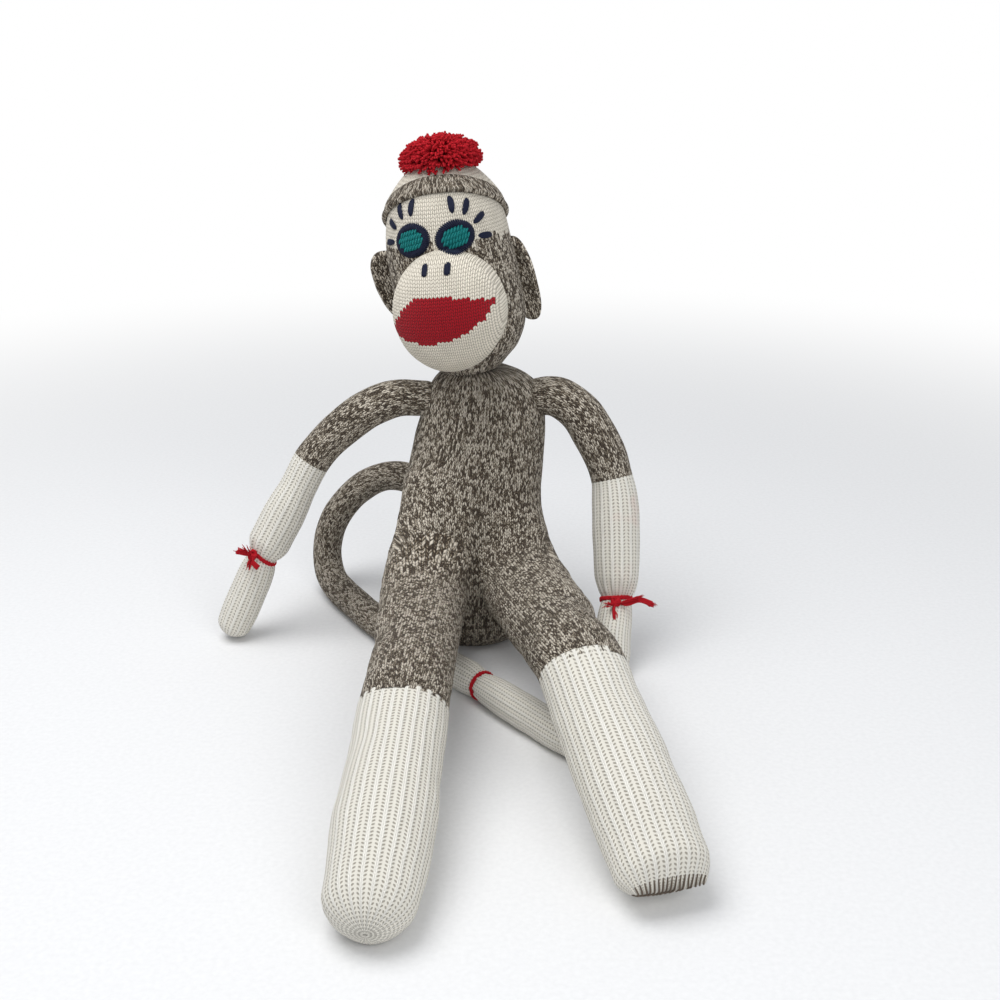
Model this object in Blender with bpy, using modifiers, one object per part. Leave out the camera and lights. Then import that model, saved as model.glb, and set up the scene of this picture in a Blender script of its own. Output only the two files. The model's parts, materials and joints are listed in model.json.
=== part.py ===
"""Sock monkey doll, sitting with its legs out in front and its tail round its right side.

Metres, +Z up. The doll faces -Y, so its own right side is at -X. The origin is the middle of the
flat patch that it sits on. The torso, head, muzzle, thighs and feet are knitted covers round
stuffing; the arms and the tail are solid. A limb is a chain of parts, each of which starts as a ball
that sits in a cup in the end of the one before.
"""

import math

import bmesh
import bpy
from mathutils import Matrix, Vector

SIDES = (("right", -1), ("left", 1))

# Cloth, clearances and small working sizes
COVER_WALL = 0.0016
SEAM_GAP = 0.00035
REST_DIP = 0.0005
FILL_HOLE_RADIUS = 0.002
CUT_OVERRUN = 0.004
PIVOT_MARK_SIZE = 0.02
TABLE_CUT_SIZE = 0.9
TABLE_CUT_DEPTH = 0.05

# Torso
NECK_HEIGHT = 0.165
TORSO_WIDTH = 0.086
TORSO_DEPTH = 0.066
TORSO_SIDE_LEAN = 0.008
TORSO_BACK_LEAN = 0.025
NECK_OFFSET = -0.001
TORSO_SIDES = 10
# height, width, depth, sideways lean, backward lean
TORSO_RING_SHARES = (
    (0.00, 0.42, 0.42, 0.0, 0.0),
    (0.00, 0.74, 0.74, 0.0, 0.0),
    (0.07, 0.95, 0.95, 0.0, 0.05),
    (0.22, 1.00, 1.00, 0.0, 0.20),
    (0.43, 0.98, 0.97, 0.0, 0.42),
    (0.66, 0.93, 0.92, 0.3, 0.66),
    (0.84, 0.82, 0.80, 0.8, 0.85),
    (0.93, 0.60, 0.58, 0.7, 0.95),
    (0.972, 0.36, 0.45, 0.0, 1.0),
)
TORSO_CORE_SHARES = (
    (0.00, 0.70, 0.70, 0.0, 0.0),
    (0.07, 0.92, 0.92, 0.0, 0.05),
    (0.22, 0.98, 0.98, 0.0, 0.20),
    (0.43, 0.96, 0.95, 0.0, 0.42),
    (0.66, 0.91, 0.90, 0.3, 0.66),
    (0.84, 0.78, 0.76, 0.8, 0.85),
    (0.925, 0.52, 0.50, 0.7, 0.95),
    (0.96, 0.24, 0.30, 0.0, 1.0),
)

# Neck: the gathered end of the body sock, with the thread that closes it
NECK_RADIUS = 0.0125
NECK_SIDES = 20
NECK_LEVELS = 12
NECK_THREAD_RADIUS = 0.0008
NECK_THREAD_SLACK = 0.0003

# Head
HEAD_HEIGHT = 0.119
HEAD_WIDTH = 0.072
HEAD_DEPTH = 0.074
HEAD_BACK_SET = 0.009
HEAD_SIDE_SET = -0.0065
HEAD_SIDES = 10
HEAD_YAW = -10
HEAD_ROLL = -6
# height, width, depth, backward set; the sideways set is its square
HEAD_RING_SHARES = (
    (0.035, 0.54, 0.46, 0.0),
    (0.11, 0.84, 0.72, 0.2),
    (0.25, 1.03, 0.90, 0.5),
    (0.44, 1.05, 0.97, 0.8),
    (0.66, 1.02, 1.02, 1.0),
    (0.82, 0.90, 0.93, 1.0),
    (0.94, 0.62, 0.66, 1.0),
    (1.00, 0.26, 0.28, 1.0),
)
HEAD_CORE_SHARES = (
    (0.06, 0.30, 0.30, 0.0),
    (0.13, 0.58, 0.56, 0.2),
    (0.26, 0.84, 0.81, 0.5),
    (0.44, 0.95, 0.94, 0.8),
    (0.66, 0.98, 0.98, 1.0),
    (0.80, 0.88, 0.89, 1.0),
    (0.91, 0.56, 0.58, 1.0),
    (0.955, 0.22, 0.24, 1.0),
)

# Muzzle
MUZZLE_WIDTH = 0.064
MUZZLE_HEIGHT = 0.070
MUZZLE_REACH = 0.030
MUZZLE_LEVEL = 0.0415
MUZZLE_SIDE_SET = -0.002
MUZZLE_SIDES = 8
# forward reach, width, height
MUZZLE_RING_SHARES = (
    (-1.20, 0.70, 0.70),
    (-0.75, 0.92, 0.92),
    (-0.20, 1.02, 1.02),
    (0.35, 0.94, 0.94),
    (0.78, 0.72, 0.72),
    (0.98, 0.38, 0.38),
)

# Cap
CAP_WALL = 0.0018
BAND_WALL = 0.0030
BAND_WIDTH = 0.013
CAP_LEVEL = 0.102
CAP_TILT = -29
POMPOM_WIDTH = 0.048
POMPOM_HEIGHT = 0.026
POMPOM_TUFT = 0.0022
# Turn between one tuft's length and the next, in radians
POMPOM_TUFT_TURN = 2.4

# Ears
EAR_HEIGHT = 0.054
EAR_REACH = {"right": 0.017, "left": 0.0140}
EAR_DEPTH = 0.009
EAR_LEVEL = 0.048
EAR_BACK_SET = 0.008
EAR_RANGE = (-20, 20)
EAR_STEPS = 4
EAR_EMBED_SHARE = 0.55
# How much of the head's sideways set there is at the ears
EAR_SIDE_SHARE = 0.6

# Eyes, lashes and nostrils
EYE_WIDTH = 0.0232
EYE_HEIGHT = 0.0190
EYE_RING_WIDTH = 0.0042
EYE_RING_HEIGHT = 0.0026
EYE_LEVEL = 0.0825
EYE_BEARING = 21
EYE_CANT = 14
PUPIL_HEIGHT = 0.0020
LASH_LENGTH = 0.0095
LASH_WIDTH = 0.0028
LASH_HEIGHT = 0.0016
LASH_DISTANCE = 0.0176
LASH_ANGLES = (90, 61, 28, -6)
NOSTRIL_WIDTH = 0.0035
NOSTRIL_HEIGHT = 0.0065
NOSTRIL_DEPTH = 0.0016
NOSTRIL_SPACING = 0.0130
NOSTRIL_RISE = 0.0275

# Arms
SHOULDER_HEIGHT = 0.1465
SHOULDER_SPAN = 0.067
SHOULDER_BACK_SET = 0.022
ARM_WIDTH = {"right": 0.0235, "left": 0.0250}
WRIST_WIDTH = 0.0165
UPPER_ARM_LENGTH = {"right": 0.080, "left": 0.067}
FOREARM_LENGTH = {"right": 0.066, "left": 0.071}
HAND_LENGTH = {"right": 0.0565, "left": 0.0485}
UPPER_ARM_HEADING = {"right": (-82, -27.6), "left": (63.4, -43)}
FOREARM_HEADING = {"right": (-65.7, -59), "left": (4.8, -65)}
HAND_HEADING = {"right": (-67, -68.5), "left": (-8, -48)}
ARM_BOW = 0.013
ARM_SIDES = 6

# Legs
HIP_HEIGHT = 0.038
HIP_SPAN = 0.046
HIP_FRONT_SET = 0.014
LEG_WIDTH = 0.045
LEG_DEPTH = 0.041
THIGH_LENGTH = {"right": 0.149, "left": 0.149}
FOOT_LENGTH = {"right": 0.1445, "left": 0.1350}
THIGH_HEADING = {"right": (-2.7, 3.3), "left": (13.4, 8.5)}
FOOT_HEADING = {"right": (-3.5, -13.9), "left": (15.9, -20.6)}
LEG_BOW = 0.003
LEG_SIDES = 8

# Tail
TAIL_WIDTH = 0.0200
TAIL_DEPTH = 0.0190
TAIL_ROOT_HEIGHT = 0.0647
TAIL_ROOT_SET = (-0.010, 0.037)
TAIL_SIDES = 6
TAIL_WAIST = 0.0155
TAIL_ROOT_LENGTH = 0.0578
TAIL_ARCH_LENGTH = 0.0829
TAIL_MIDDLE_LENGTH = 0.127
TAIL_END_LENGTH = 0.0645
TAIL_TIP_LENGTH = 0.0845
TAIL_ROOT_BOW = 0.006
TAIL_ARCH_BOW = 0.012
TAIL_MIDDLE_BOW = 0.005
TAIL_ARCH_BOW_HEADING = (-90, 30)
TAIL_MIDDLE_BOW_HEADING = (-60, 0)
TAIL_ROOT_HEADING = (-120, 16)
TAIL_ARCH_HEADING = (-92.8, -60.3)
TAIL_MIDDLE_HEADING = (31.8, 0)
TAIL_END_HEADING = (40.6, 0)
TAIL_TIP_HEADING = (38.8, 0)

# Yarn ties
TIE_RADIUS = 0.0012
TIE_KNOT_RADIUS = 0.0026
TIE_END_LENGTH = 0.014
# How far a tie sits back from the joint, in widths of the gathered place
TIE_SET_SHARE = 0.28

# Joint ranges in degrees from this sitting pose
SHOULDER_RANGE = (-15, 70)
ELBOW_RANGE = (-15, 70)
WRIST_RANGE = (-20, 35)
HIP_RANGE = {"right": (-1, 40), "left": (-3, 40)}
KNEE_RANGE = {"right": (-60, 15), "left": (-10, 15)}
TAIL_ROOT_RANGE = (-2, 8)
TAIL_ARCH_RANGE = (-2, 8)
TAIL_MIDDLE_RANGE = (-1, 10)
TAIL_END_RANGE = (-10, 8)
TAIL_TIP_RANGE = (-12, 25)

# Outline of a limb part: share of the length, share of its width
UPPER_ARM_SHARES = ((0.22, 0.98), (0.55, 1.02))
FOREARM_SHARES = {"right": ((0.24, 0.94), (0.66, 1.12)), "left": ((0.20, 1.10), (0.64, 1.12))}
HAND_SHARES = ((0.28, 0.90), (0.60, 0.98))
THIGH_SHARES = ((0.22, 0.98), (0.60, 0.98))
FOOT_SHARES = ((0.16, 0.96), (0.60, 1.04))
TAIL_SHARES = ((0.25, 1.0), (0.60, 1.0))
ROOT_SHARE = 0.80
LEG_ROOT_SHARE = 0.66
# Ball at the root of a limb part: position and radius, in root radii
ROOT_BALL_SHARES = ((-0.80, 0.62), (0.0, 1.02))
# Rounded tip: distance back from the end and radius, in end radii
ROUND_TIP_SHARES = ((0.62, 0.92), (0.0, 0.50))
BLUNT_TIP_SHARES = ((0.60, 0.96), (0.0, 0.74))
OPEN_END_SHARES = ((0.30, 1.0), (0.04, 0.98))
CORE_TIP_SHARES = ((0.75, 0.84), (0.30, 0.40))
# Space for the stuffing near the root, in root radii
CORE_ROOT_SHARES = ((-0.30, 0.40), (0.20, 0.66))
# Radius of the stuffing's body as a share of the cover's, before the wall
CORE_BODY_SHARE = 0.93
# Least radius of a ring of the inside, as a share of the outside's
LEAST_INSIDE_SHARE = 0.20
SWEEP_STEP = 20
# How far past its first full ring a root needs room, in root radii
ROOT_REACH_SHARE = 0.6

BROWN_MARL = (0.16, 0.12, 0.09, 1.0)
CREAM_KNIT = (0.78, 0.74, 0.64, 1.0)
STUFFING_WHITE = (0.85, 0.84, 0.80, 1.0)
RED_YARN = (0.52, 0.01, 0.02, 1.0)
NAVY_FLOSS = (0.010, 0.012, 0.040, 1.0)
TEAL_FLOSS = (0.01, 0.21, 0.20, 1.0)


def remove_all():
    """Empty the scene without closing the file that runs this."""
    for item in list(bpy.data.objects):
        bpy.data.objects.remove(item, do_unlink=True)


def make_collection(name):
    """A new collection under the scene's own."""
    group = bpy.data.collections.new(name)
    bpy.context.scene.collection.children.link(group)
    return group


def material(name, colour, roughness=0.95):
    """A plain cloth material."""
    surface = bpy.data.materials.new(name)
    surface.use_nodes = True
    shader = surface.node_tree.nodes["Principled BSDF"]
    shader.inputs["Base Color"].default_value = colour
    shader.inputs["Roughness"].default_value = roughness
    shader.inputs["Metallic"].default_value = 0.0
    return surface


def heading(yaw, pitch):
    """Unit vector: yaw 0 points forward, at -Y, and grows towards +X; pitch is upwards."""
    turn, rise = math.radians(yaw), math.radians(pitch)
    return Vector((math.cos(rise) * math.sin(turn), -math.cos(rise) * math.cos(turn), math.sin(rise)))


def ring(centre, side, up, half_width, half_height, count):
    """Points of an ellipse round a centre, in the plane of side and up."""
    points = []
    for step in range(count):
        angle = 2 * math.pi * (step + 0.5) / count
        points.append(centre + side * (half_width * math.cos(angle)) + up * (half_height * math.sin(angle)))
    return points


def loft(rings):
    """A closed mesh through rings of equal count, with a face across each end."""
    mesh = bpy.data.meshes.new("form")
    shape = bmesh.new()
    loops = [[shape.verts.new(point) for point in points] for points in rings]
    for low, high in zip(loops, loops[1:]):
        for here in range(len(low)):
            there = (here + 1) % len(low)
            shape.faces.new((low[here], low[there], high[there], high[here]))
    shape.faces.new(list(reversed(loops[0])))
    shape.faces.new(loops[-1])
    bmesh.ops.recalc_face_normals(shape, faces=shape.faces)
    shape.to_mesh(mesh)
    shape.free()
    return mesh


def mesh_from(shape):
    """A mesh from a bmesh, which is freed."""
    mesh = bpy.data.meshes.new("form")
    bmesh.ops.recalc_face_normals(shape, faces=shape.faces)
    shape.to_mesh(mesh)
    shape.free()
    return mesh


def add_node(name, mesh, surface, carrier):
    """A sub-part under the empty of its moving body, with its mesh in world places."""
    item = bpy.data.objects.new(name, mesh)
    PARTS.objects.link(item)
    item.data.transform(Matrix.Translation(-carrier.matrix_world.translation))
    item.parent = carrier
    item.data.materials.append(surface)
    item.data.shade_smooth()
    return item


def add_cutter(name, mesh):
    """A solid that only cuts others."""
    item = bpy.data.objects.new(name, mesh)
    CUTTERS.objects.link(item)
    item.hide_render = True
    item.display_type = "WIRE"
    return item


def subdivide(item):
    """One smoothing step on a coarse cage."""
    step = item.modifiers.new("Smooth", "SUBSURF")
    step.levels = 1
    step.render_levels = 1


def cut(item, cutter, operation="DIFFERENCE"):
    """Cut an object with another, or join them."""
    step = item.modifiers.new("Cut", "BOOLEAN")
    step.operation = operation
    step.object = cutter
    step.solver = "EXACT"


def pivot(name, place, parent=None):
    """An empty on a joint's axis, which carries a moving body."""
    empty = bpy.data.objects.new(name, None)
    PARTS.objects.link(empty)
    empty.empty_display_size = PIVOT_MARK_SIZE
    if parent:
        empty.parent = parent
        empty.location = place - parent.matrix_world.translation
    else:
        empty.location = place
    bpy.context.view_layer.update()
    return empty


def hull(points):
    """The convex hull of some points, as a mesh."""
    shape = bmesh.new()
    for point in points:
        shape.verts.new(point)
    made = bmesh.ops.convex_hull(shape, input=shape.verts, use_existing_faces=False)
    inner = made["geom_interior"] + made["geom_unused"]
    spare = {part for part in inner if isinstance(part, bmesh.types.BMVert)}
    bmesh.ops.delete(shape, geom=list(spare), context="VERTS")
    return mesh_from(shape)


def root_points(limb):
    """Points of the smoothed cover near its root, measured from its joint."""
    form = add_cutter("root_form", limb.cover_mesh())
    subdivide(form)
    smooth = bpy.data.meshes.new_from_object(form.evaluated_get(bpy.context.evaluated_depsgraph_get()))
    bpy.data.objects.remove(form, do_unlink=True)
    reach = limb.outer[len(ROOT_BALL_SHARES)][0] + limb.root_radius * ROOT_REACH_SHARE
    near = [vertex.co - limb.start for vertex in smooth.vertices]
    near = [point for point in near if point.dot(limb.direction) < reach]
    return [point * (1 + SEAM_GAP / limb.root_radius) for point in near]


def swept_hull(name, limb, axis, low, high):
    """The space that the root of a limb part needs as it turns about its joint."""
    angles = [0.0]
    for limit in (low, high):
        steps = math.ceil(abs(limit) / SWEEP_STEP)
        angles += [limit * (step + 1) / steps for step in range(steps)]
    widest = min(SWEEP_STEP, max(-low, high))
    swell = 1 / math.cos(math.radians(widest / 2))
    near = root_points(limb)
    points = []
    for angle in angles:
        turn = Matrix.Rotation(math.radians(angle), 3, axis)
        points += [limb.start + turn @ point * swell for point in near]
    return add_cutter(name, hull(points))


class Limb:
    """One stuffed part of a limb, from its joint to the next joint or to its tip."""

    def __init__(self, start, direction, length, width, depth, shares, bow=Vector(), root=ROOT_SHARE,
                 end_width=None, end_shares=OPEN_END_SHARES, sides=ARM_SIDES):
        self.start = start
        self.direction = direction
        self.length = length
        self.end = start + direction * length
        self.bow = bow
        self.sides = sides
        self.flatness = depth / width
        self.root_radius = width / 2 * root
        end_radius = (end_width or width) / 2
        body = [(share * length, width / 2 * size) for share, size in shares]
        tip = [(length - back * end_radius, size * end_radius) for back, size in end_shares]
        root_radius = self.root_radius
        ball = [(place * root_radius, size * root_radius) for place, size in ROOT_BALL_SHARES]
        core_body = [(along, radius * CORE_BODY_SHARE) for along, radius in body]
        core_ball = [(place * root_radius, size * root_radius) for place, size in CORE_ROOT_SHARES]
        core_tip = [(length - back * end_radius, size * end_radius) for back, size in CORE_TIP_SHARES]
        self.outer = ball + body + tip
        self.inner = core_ball + core_body + core_tip

    def tangent(self, along):
        """Direction of the part's middle line, a distance along it."""
        share = min(max(along / self.length, 0), 1)
        return (self.direction * self.length + self.bow * 4 * (1 - 2 * share)).normalized()

    def centre(self, along):
        """Point of the part's middle line, a distance along it."""
        share = min(max(along / self.length, 0), 1)
        point = self.start + self.direction * (self.length * share) + self.bow * (4 * share * (1 - share))
        return point + self.tangent(along) * (along - share * self.length)

    def rings(self, stations, swell=1.0, inset=0.0):
        """Rings at the stations, each a distance along and a radius."""
        made = []
        for along, radius in stations:
            ahead = self.tangent(along)
            side = ahead.cross(Vector((0, 0, 1))).normalized()
            up = side.cross(ahead).normalized()
            wide = max(radius - inset, radius * LEAST_INSIDE_SHARE) * swell
            high = max(radius * self.flatness - inset, radius * LEAST_INSIDE_SHARE) * swell
            made.append(ring(self.centre(along), side, up, wide, high, self.sides))
        return made

    def cover_mesh(self):
        """The cage of the cover's outside."""
        return loft(self.rings(self.outer, swell=1 / math.cos(math.pi / self.sides)))

    def inside(self, inset):
        """Stations of the inside: those near the root, and the rest held back from the end."""
        count = len(CORE_ROOT_SHARES)
        rest = []
        for along, radius in self.inner[count:]:
            held = min(along, self.inner[-1][0] - inset)
            if not rest or held > rest[-1][0] + inset:
                rest.append((held, radius))
        return self.inner[:count], rest

    def hollow_mesh(self):
        """The space inside the cover, with the small hole that it is filled through."""
        root, rest = self.inside(COVER_WALL)
        outside = -self.root_radius - CUT_OVERRUN
        mouth = [(outside, FILL_HOLE_RADIUS), (root[0][0] - COVER_WALL, FILL_HOLE_RADIUS)]
        return loft(self.rings(mouth) + self.rings(root) + self.rings(rest, inset=COVER_WALL))

    def core_mesh(self):
        """The stuffing."""
        inset = COVER_WALL + SEAM_GAP
        root, rest = self.inside(inset)
        small = [(along + SEAM_GAP, radius - SEAM_GAP) for along, radius in root]
        return loft(self.rings(small) + self.rings(rest, inset=inset))


def build_limb(name, limb, carrier, look):
    """A limb part whose cover and stuffing are one solid."""
    cover = add_node(name, limb.cover_mesh(), look, carrier)
    subdivide(cover)
    return [cover]


def build_stuffed_limb(name, limb, carrier, look):
    """A cover and its stuffing."""
    core = add_node(name + "_stuffing", limb.core_mesh(), STUFFING, carrier)
    return build_limb(name, limb, carrier, look) + [core]


def hollow_out(name, limb, cover):
    """Take the stuffing's space out of a cover."""
    cut(cover, add_cutter(name + "_hollow", limb.hollow_mesh()))


def rest_on_table(item):
    """Cut a part flat where it meets the table."""
    cut(item, TABLE)


def box_mesh(size_x, size_y, size_z, centre):
    """A box."""
    shape = bmesh.new()
    bmesh.ops.create_cube(shape, size=1.0)
    bmesh.ops.scale(shape, vec=(size_x, size_y, size_z), verts=shape.verts)
    bmesh.ops.translate(shape, vec=centre, verts=shape.verts)
    return mesh_from(shape)


def oval_mesh(half_x, half_y, half_z, around, along, matrix=None):
    """An egg shape about the origin, then placed by a matrix."""
    shape = bmesh.new()
    bmesh.ops.create_uvsphere(shape, u_segments=around, v_segments=along, radius=1.0)
    bmesh.ops.scale(shape, vec=(half_x, half_y, half_z), verts=shape.verts)
    if matrix:
        bmesh.ops.transform(shape, matrix=matrix, verts=shape.verts)
    return mesh_from(shape)


def torus_mesh(major, minor, around, about, matrix, squash=(1, 1, 1)):
    """A ring of round section about Z, then placed by a matrix."""
    shape = bmesh.new()
    loops = []
    for step in range(around):
        turn = 2 * math.pi * step / around
        out = Vector((math.cos(turn), math.sin(turn), 0))
        loop = ring(out * major, out, Vector((0, 0, 1)), minor, minor, about)
        flat = [Vector(a * b for a, b in zip(point, squash)) for point in loop]
        loops.append([shape.verts.new(matrix @ point) for point in flat])
    for low, high in zip(loops, loops[1:] + loops[:1]):
        for here in range(about):
            there = (here + 1) % about
            shape.faces.new((low[here], low[there], high[there], high[here]))
    return mesh_from(shape)


def frame_matrix(place, normal, up=Vector((0, 0, 1))):
    """A matrix at a place, with its Z along normal and its Y as near to up as can be."""
    z_axis = normal.normalized()
    x_axis = up.cross(z_axis).normalized()
    y_axis = z_axis.cross(x_axis)
    turned = Matrix((x_axis, y_axis, z_axis)).transposed().to_4x4()
    return Matrix.Translation(place) @ turned


def torso_centre(height_share):
    """Middle of the torso at a share of its height."""
    rows = TORSO_RING_SHARES
    for low, high in zip(rows, rows[1:]):
        if low[0] <= height_share <= high[0] and high[0] > low[0]:
            blend = (height_share - low[0]) / (high[0] - low[0])
            side = low[3] + (high[3] - low[3]) * blend
            back = low[4] + (high[4] - low[4]) * blend
            return Vector((side * TORSO_SIDE_LEAN, back * TORSO_BACK_LEAN, height_share * NECK_HEIGHT))
    return Vector((0, TORSO_BACK_LEAN, NECK_HEIGHT))


def torso_rings(rows, inset, swell):
    """Rings of the torso's outside or inside."""
    made = []
    for height, wide, deep, side, back in rows:
        level = min(max(height * NECK_HEIGHT, inset), rows[-1][0] * NECK_HEIGHT - inset)
        if height == inset == 0:
            level -= REST_DIP
        centre = Vector((side * TORSO_SIDE_LEAN, back * TORSO_BACK_LEAN, level))
        half_width = (wide * TORSO_WIDTH / 2 - inset) * swell
        half_depth = (deep * TORSO_DEPTH / 2 - inset) * swell
        made.append(ring(centre, Vector((1, 0, 0)), Vector((0, 1, 0)), half_width, half_depth, TORSO_SIDES))
    return made


def head_rings(rows, grow, swell):
    """Rings of the head in its own frame, with its neck at the origin."""
    made = []
    top = rows[-1][0]
    bottom = rows[0][0]
    for height, wide, deep, back in rows:
        level = height * HEAD_HEIGHT + grow * ((height == top) - (height == bottom))
        centre = Vector((back**2 * HEAD_SIDE_SET, back * HEAD_BACK_SET, level))
        half_width = (wide * HEAD_WIDTH / 2 + grow) * swell
        half_depth = (deep * HEAD_DEPTH / 2 + grow) * swell
        made.append(ring(centre, Vector((1, 0, 0)), Vector((0, 1, 0)), half_width, half_depth, HEAD_SIDES))
    return made


def head_mesh(grow):
    """The head's outside, grown, in world places."""
    mesh = loft(head_rings(HEAD_RING_SHARES, grow, 1 / math.cos(math.pi / HEAD_SIDES)))
    mesh.transform(HEAD_FRAME)
    return mesh


def head_core_mesh(inset):
    """The head's inside, in world places."""
    mesh = loft(head_rings(HEAD_CORE_SHARES, -inset, 1))
    mesh.transform(HEAD_FRAME)
    return mesh


def grown_head(name, grow):
    """A cutter with the head's shape, a little larger."""
    cutter = add_cutter(name, head_mesh(grow))
    subdivide(cutter)
    return cutter


def face_place(level, bearing):
    """Point and outward direction on the head, at a level and a bearing from straight ahead."""
    rows = HEAD_RING_SHARES
    share = level / HEAD_HEIGHT
    for low, high in zip(rows, rows[1:]):
        if low[0] <= share <= high[0]:
            blend = (share - low[0]) / (high[0] - low[0])
            wide = (low[1] + (high[1] - low[1]) * blend) * HEAD_WIDTH / 2
            deep = (low[2] + (high[2] - low[2]) * blend) * HEAD_DEPTH / 2
            shift = low[3] + (high[3] - low[3]) * blend
            back = shift * HEAD_BACK_SET
            slope = (low[2] - high[2]) * HEAD_DEPTH / 2 / ((high[0] - low[0]) * HEAD_HEIGHT)
            angle = math.radians(bearing)
            side = shift**2 * HEAD_SIDE_SET + wide * math.sin(angle)
            place = Vector((side, back - deep * math.cos(angle), level))
            out = Vector((math.sin(angle), -math.cos(angle), slope))
            return place, out.normalized()
    raise ValueError("level is off the head")


def muzzle_rings(inset, swell, rows=MUZZLE_RING_SHARES):
    """Rings of the muzzle in the head's frame, from inside the face to its front."""
    root = -HEAD_DEPTH / 2 + HEAD_BACK_SET
    made = []
    across, up = Vector((1, 0, 0)), Vector((0, 0, 1))
    for forward, wide, high in rows:
        centre = Vector((MUZZLE_SIDE_SET, root - forward * (MUZZLE_REACH - inset), MUZZLE_LEVEL))
        half_width = (wide * MUZZLE_WIDTH / 2 - inset) * swell
        half_height = (high * MUZZLE_HEIGHT / 2 - inset) * swell
        made.append(ring(centre, across, up, half_width, half_height, MUZZLE_SIDES))
    return made


def muzzle_mesh(inset, smooth=True):
    """The muzzle's outside or inside, in world places."""
    swell = 1 / math.cos(math.pi / MUZZLE_SIDES) if smooth else 1
    mesh = loft(muzzle_rings(inset, swell))
    mesh.transform(HEAD_FRAME)
    return mesh


def build_torso():
    """Torso cover and stuffing, still uncut."""
    swell = 1 / math.cos(math.pi / TORSO_SIDES)
    cover = add_node("torso", loft(torso_rings(TORSO_RING_SHARES, 0.0, swell)), BROWN, ROOT)
    subdivide(cover)
    hollow = add_cutter("torso_hollow", loft(torso_rings(TORSO_CORE_SHARES, COVER_WALL, 1)))
    cut(cover, hollow)
    rest_on_table(cover)
    core_mesh = loft(torso_rings(TORSO_CORE_SHARES, COVER_WALL + SEAM_GAP, 1))
    core = add_node("torso_stuffing", core_mesh, STUFFING, ROOT)
    return cover, core


def build_neck(torso_pieces):
    """The gathered neck and its thread, on the body that turns the head."""
    place = Matrix.Translation(NECK)
    ball = oval_mesh(NECK_RADIUS, NECK_RADIUS, NECK_RADIUS, NECK_SIDES, NECK_LEVELS, place)
    neck = add_node("neck_gather", ball, BROWN, NECK_TURN)
    thread_radius = NECK_RADIUS + NECK_THREAD_SLACK + NECK_THREAD_RADIUS
    thread = torus_mesh(thread_radius, NECK_THREAD_RADIUS, 16, 4, place)
    add_node("neck_thread", thread, RED, NECK_TURN)
    grown = (NECK_RADIUS + SEAM_GAP) / math.cos(math.pi / NECK_SIDES) / math.cos(math.pi / NECK_LEVELS / 2)
    socket = add_cutter("neck_socket", oval_mesh(grown, grown, grown, NECK_SIDES, NECK_LEVELS, place))
    for piece in torso_pieces:
        cut(piece, socket)
    return neck, socket


def build_head(socket):
    """Head cover and stuffing, muzzle and its stuffing."""
    head = add_node("head", head_mesh(0.0), BROWN, NECK_NOD)
    subdivide(head)
    cut(head, add_cutter("head_hollow", head_core_mesh(COVER_WALL)))
    cut(head, socket)
    core = add_node("head_stuffing", head_core_mesh(COVER_WALL + SEAM_GAP), STUFFING, NECK_NOD)
    cut(core, socket)

    clear = grown_head("head_clearance", SEAM_GAP)
    muzzle = add_node("muzzle", muzzle_mesh(0.0), CREAM, NECK_NOD)
    subdivide(muzzle)
    cut(muzzle, add_cutter("muzzle_hollow", muzzle_mesh(COVER_WALL, smooth=False)))
    cut(muzzle, clear)
    filling_mesh = muzzle_mesh(COVER_WALL + SEAM_GAP, smooth=False)
    filling = add_node("muzzle_stuffing", filling_mesh, STUFFING, NECK_NOD)
    cut(filling, clear)
    return clear


def half_space(name, level, above):
    """A big block above or below the cap's tilted plane."""
    size = HEAD_HEIGHT * 2
    shift = size / 2 if above else -size / 2
    mesh = box_mesh(size, size, size, (0, 0, shift))
    plane = Matrix.Translation((0, HEAD_BACK_SET, level)) @ Matrix.Rotation(math.radians(CAP_TILT), 4, "X")
    mesh.transform(HEAD_FRAME @ plane)
    return add_cutter(name, mesh)


def build_cap(clear):
    """The cap's band and crown, and the pompom on top."""
    crown = add_node("cap_crown", head_mesh(CAP_WALL + SEAM_GAP), CREAM, NECK_NOD)
    subdivide(crown)
    cut(crown, clear)
    cut(crown, half_space("below_crown", CAP_LEVEL + SEAM_GAP, above=False))
    band = add_node("cap_band", head_mesh(BAND_WALL + SEAM_GAP), BROWN, NECK_NOD)
    subdivide(band)
    cut(band, clear)
    cut(band, half_space("above_band", CAP_LEVEL, above=True))
    cut(band, half_space("below_band", CAP_LEVEL - BAND_WIDTH, above=False))

    top = HEAD_HEIGHT * HEAD_RING_SHARES[-1][0] + CAP_WALL + SEAM_GAP
    tuft = bmesh.new()
    bmesh.ops.create_icosphere(tuft, subdivisions=2, radius=1.0)
    for index, vertex in enumerate(tuft.verts):
        lift = 1 + POMPOM_TUFT / POMPOM_HEIGHT * math.sin(index * POMPOM_TUFT_TURN)
        vertex.co = vertex.co * lift
    bmesh.ops.scale(tuft, vec=(POMPOM_WIDTH / 2, POMPOM_WIDTH / 2, POMPOM_HEIGHT / 2), verts=tuft.verts)
    bmesh.ops.translate(tuft, vec=(HEAD_SIDE_SET, HEAD_BACK_SET, top), verts=tuft.verts)
    bmesh.ops.transform(tuft, matrix=HEAD_FRAME, verts=tuft.verts)
    pompom = add_node("pompom", mesh_from(tuft), RED, NECK_NOD)
    cut(pompom, grown_head("crown_clearance", CAP_WALL + SEAM_GAP * 2))


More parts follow.
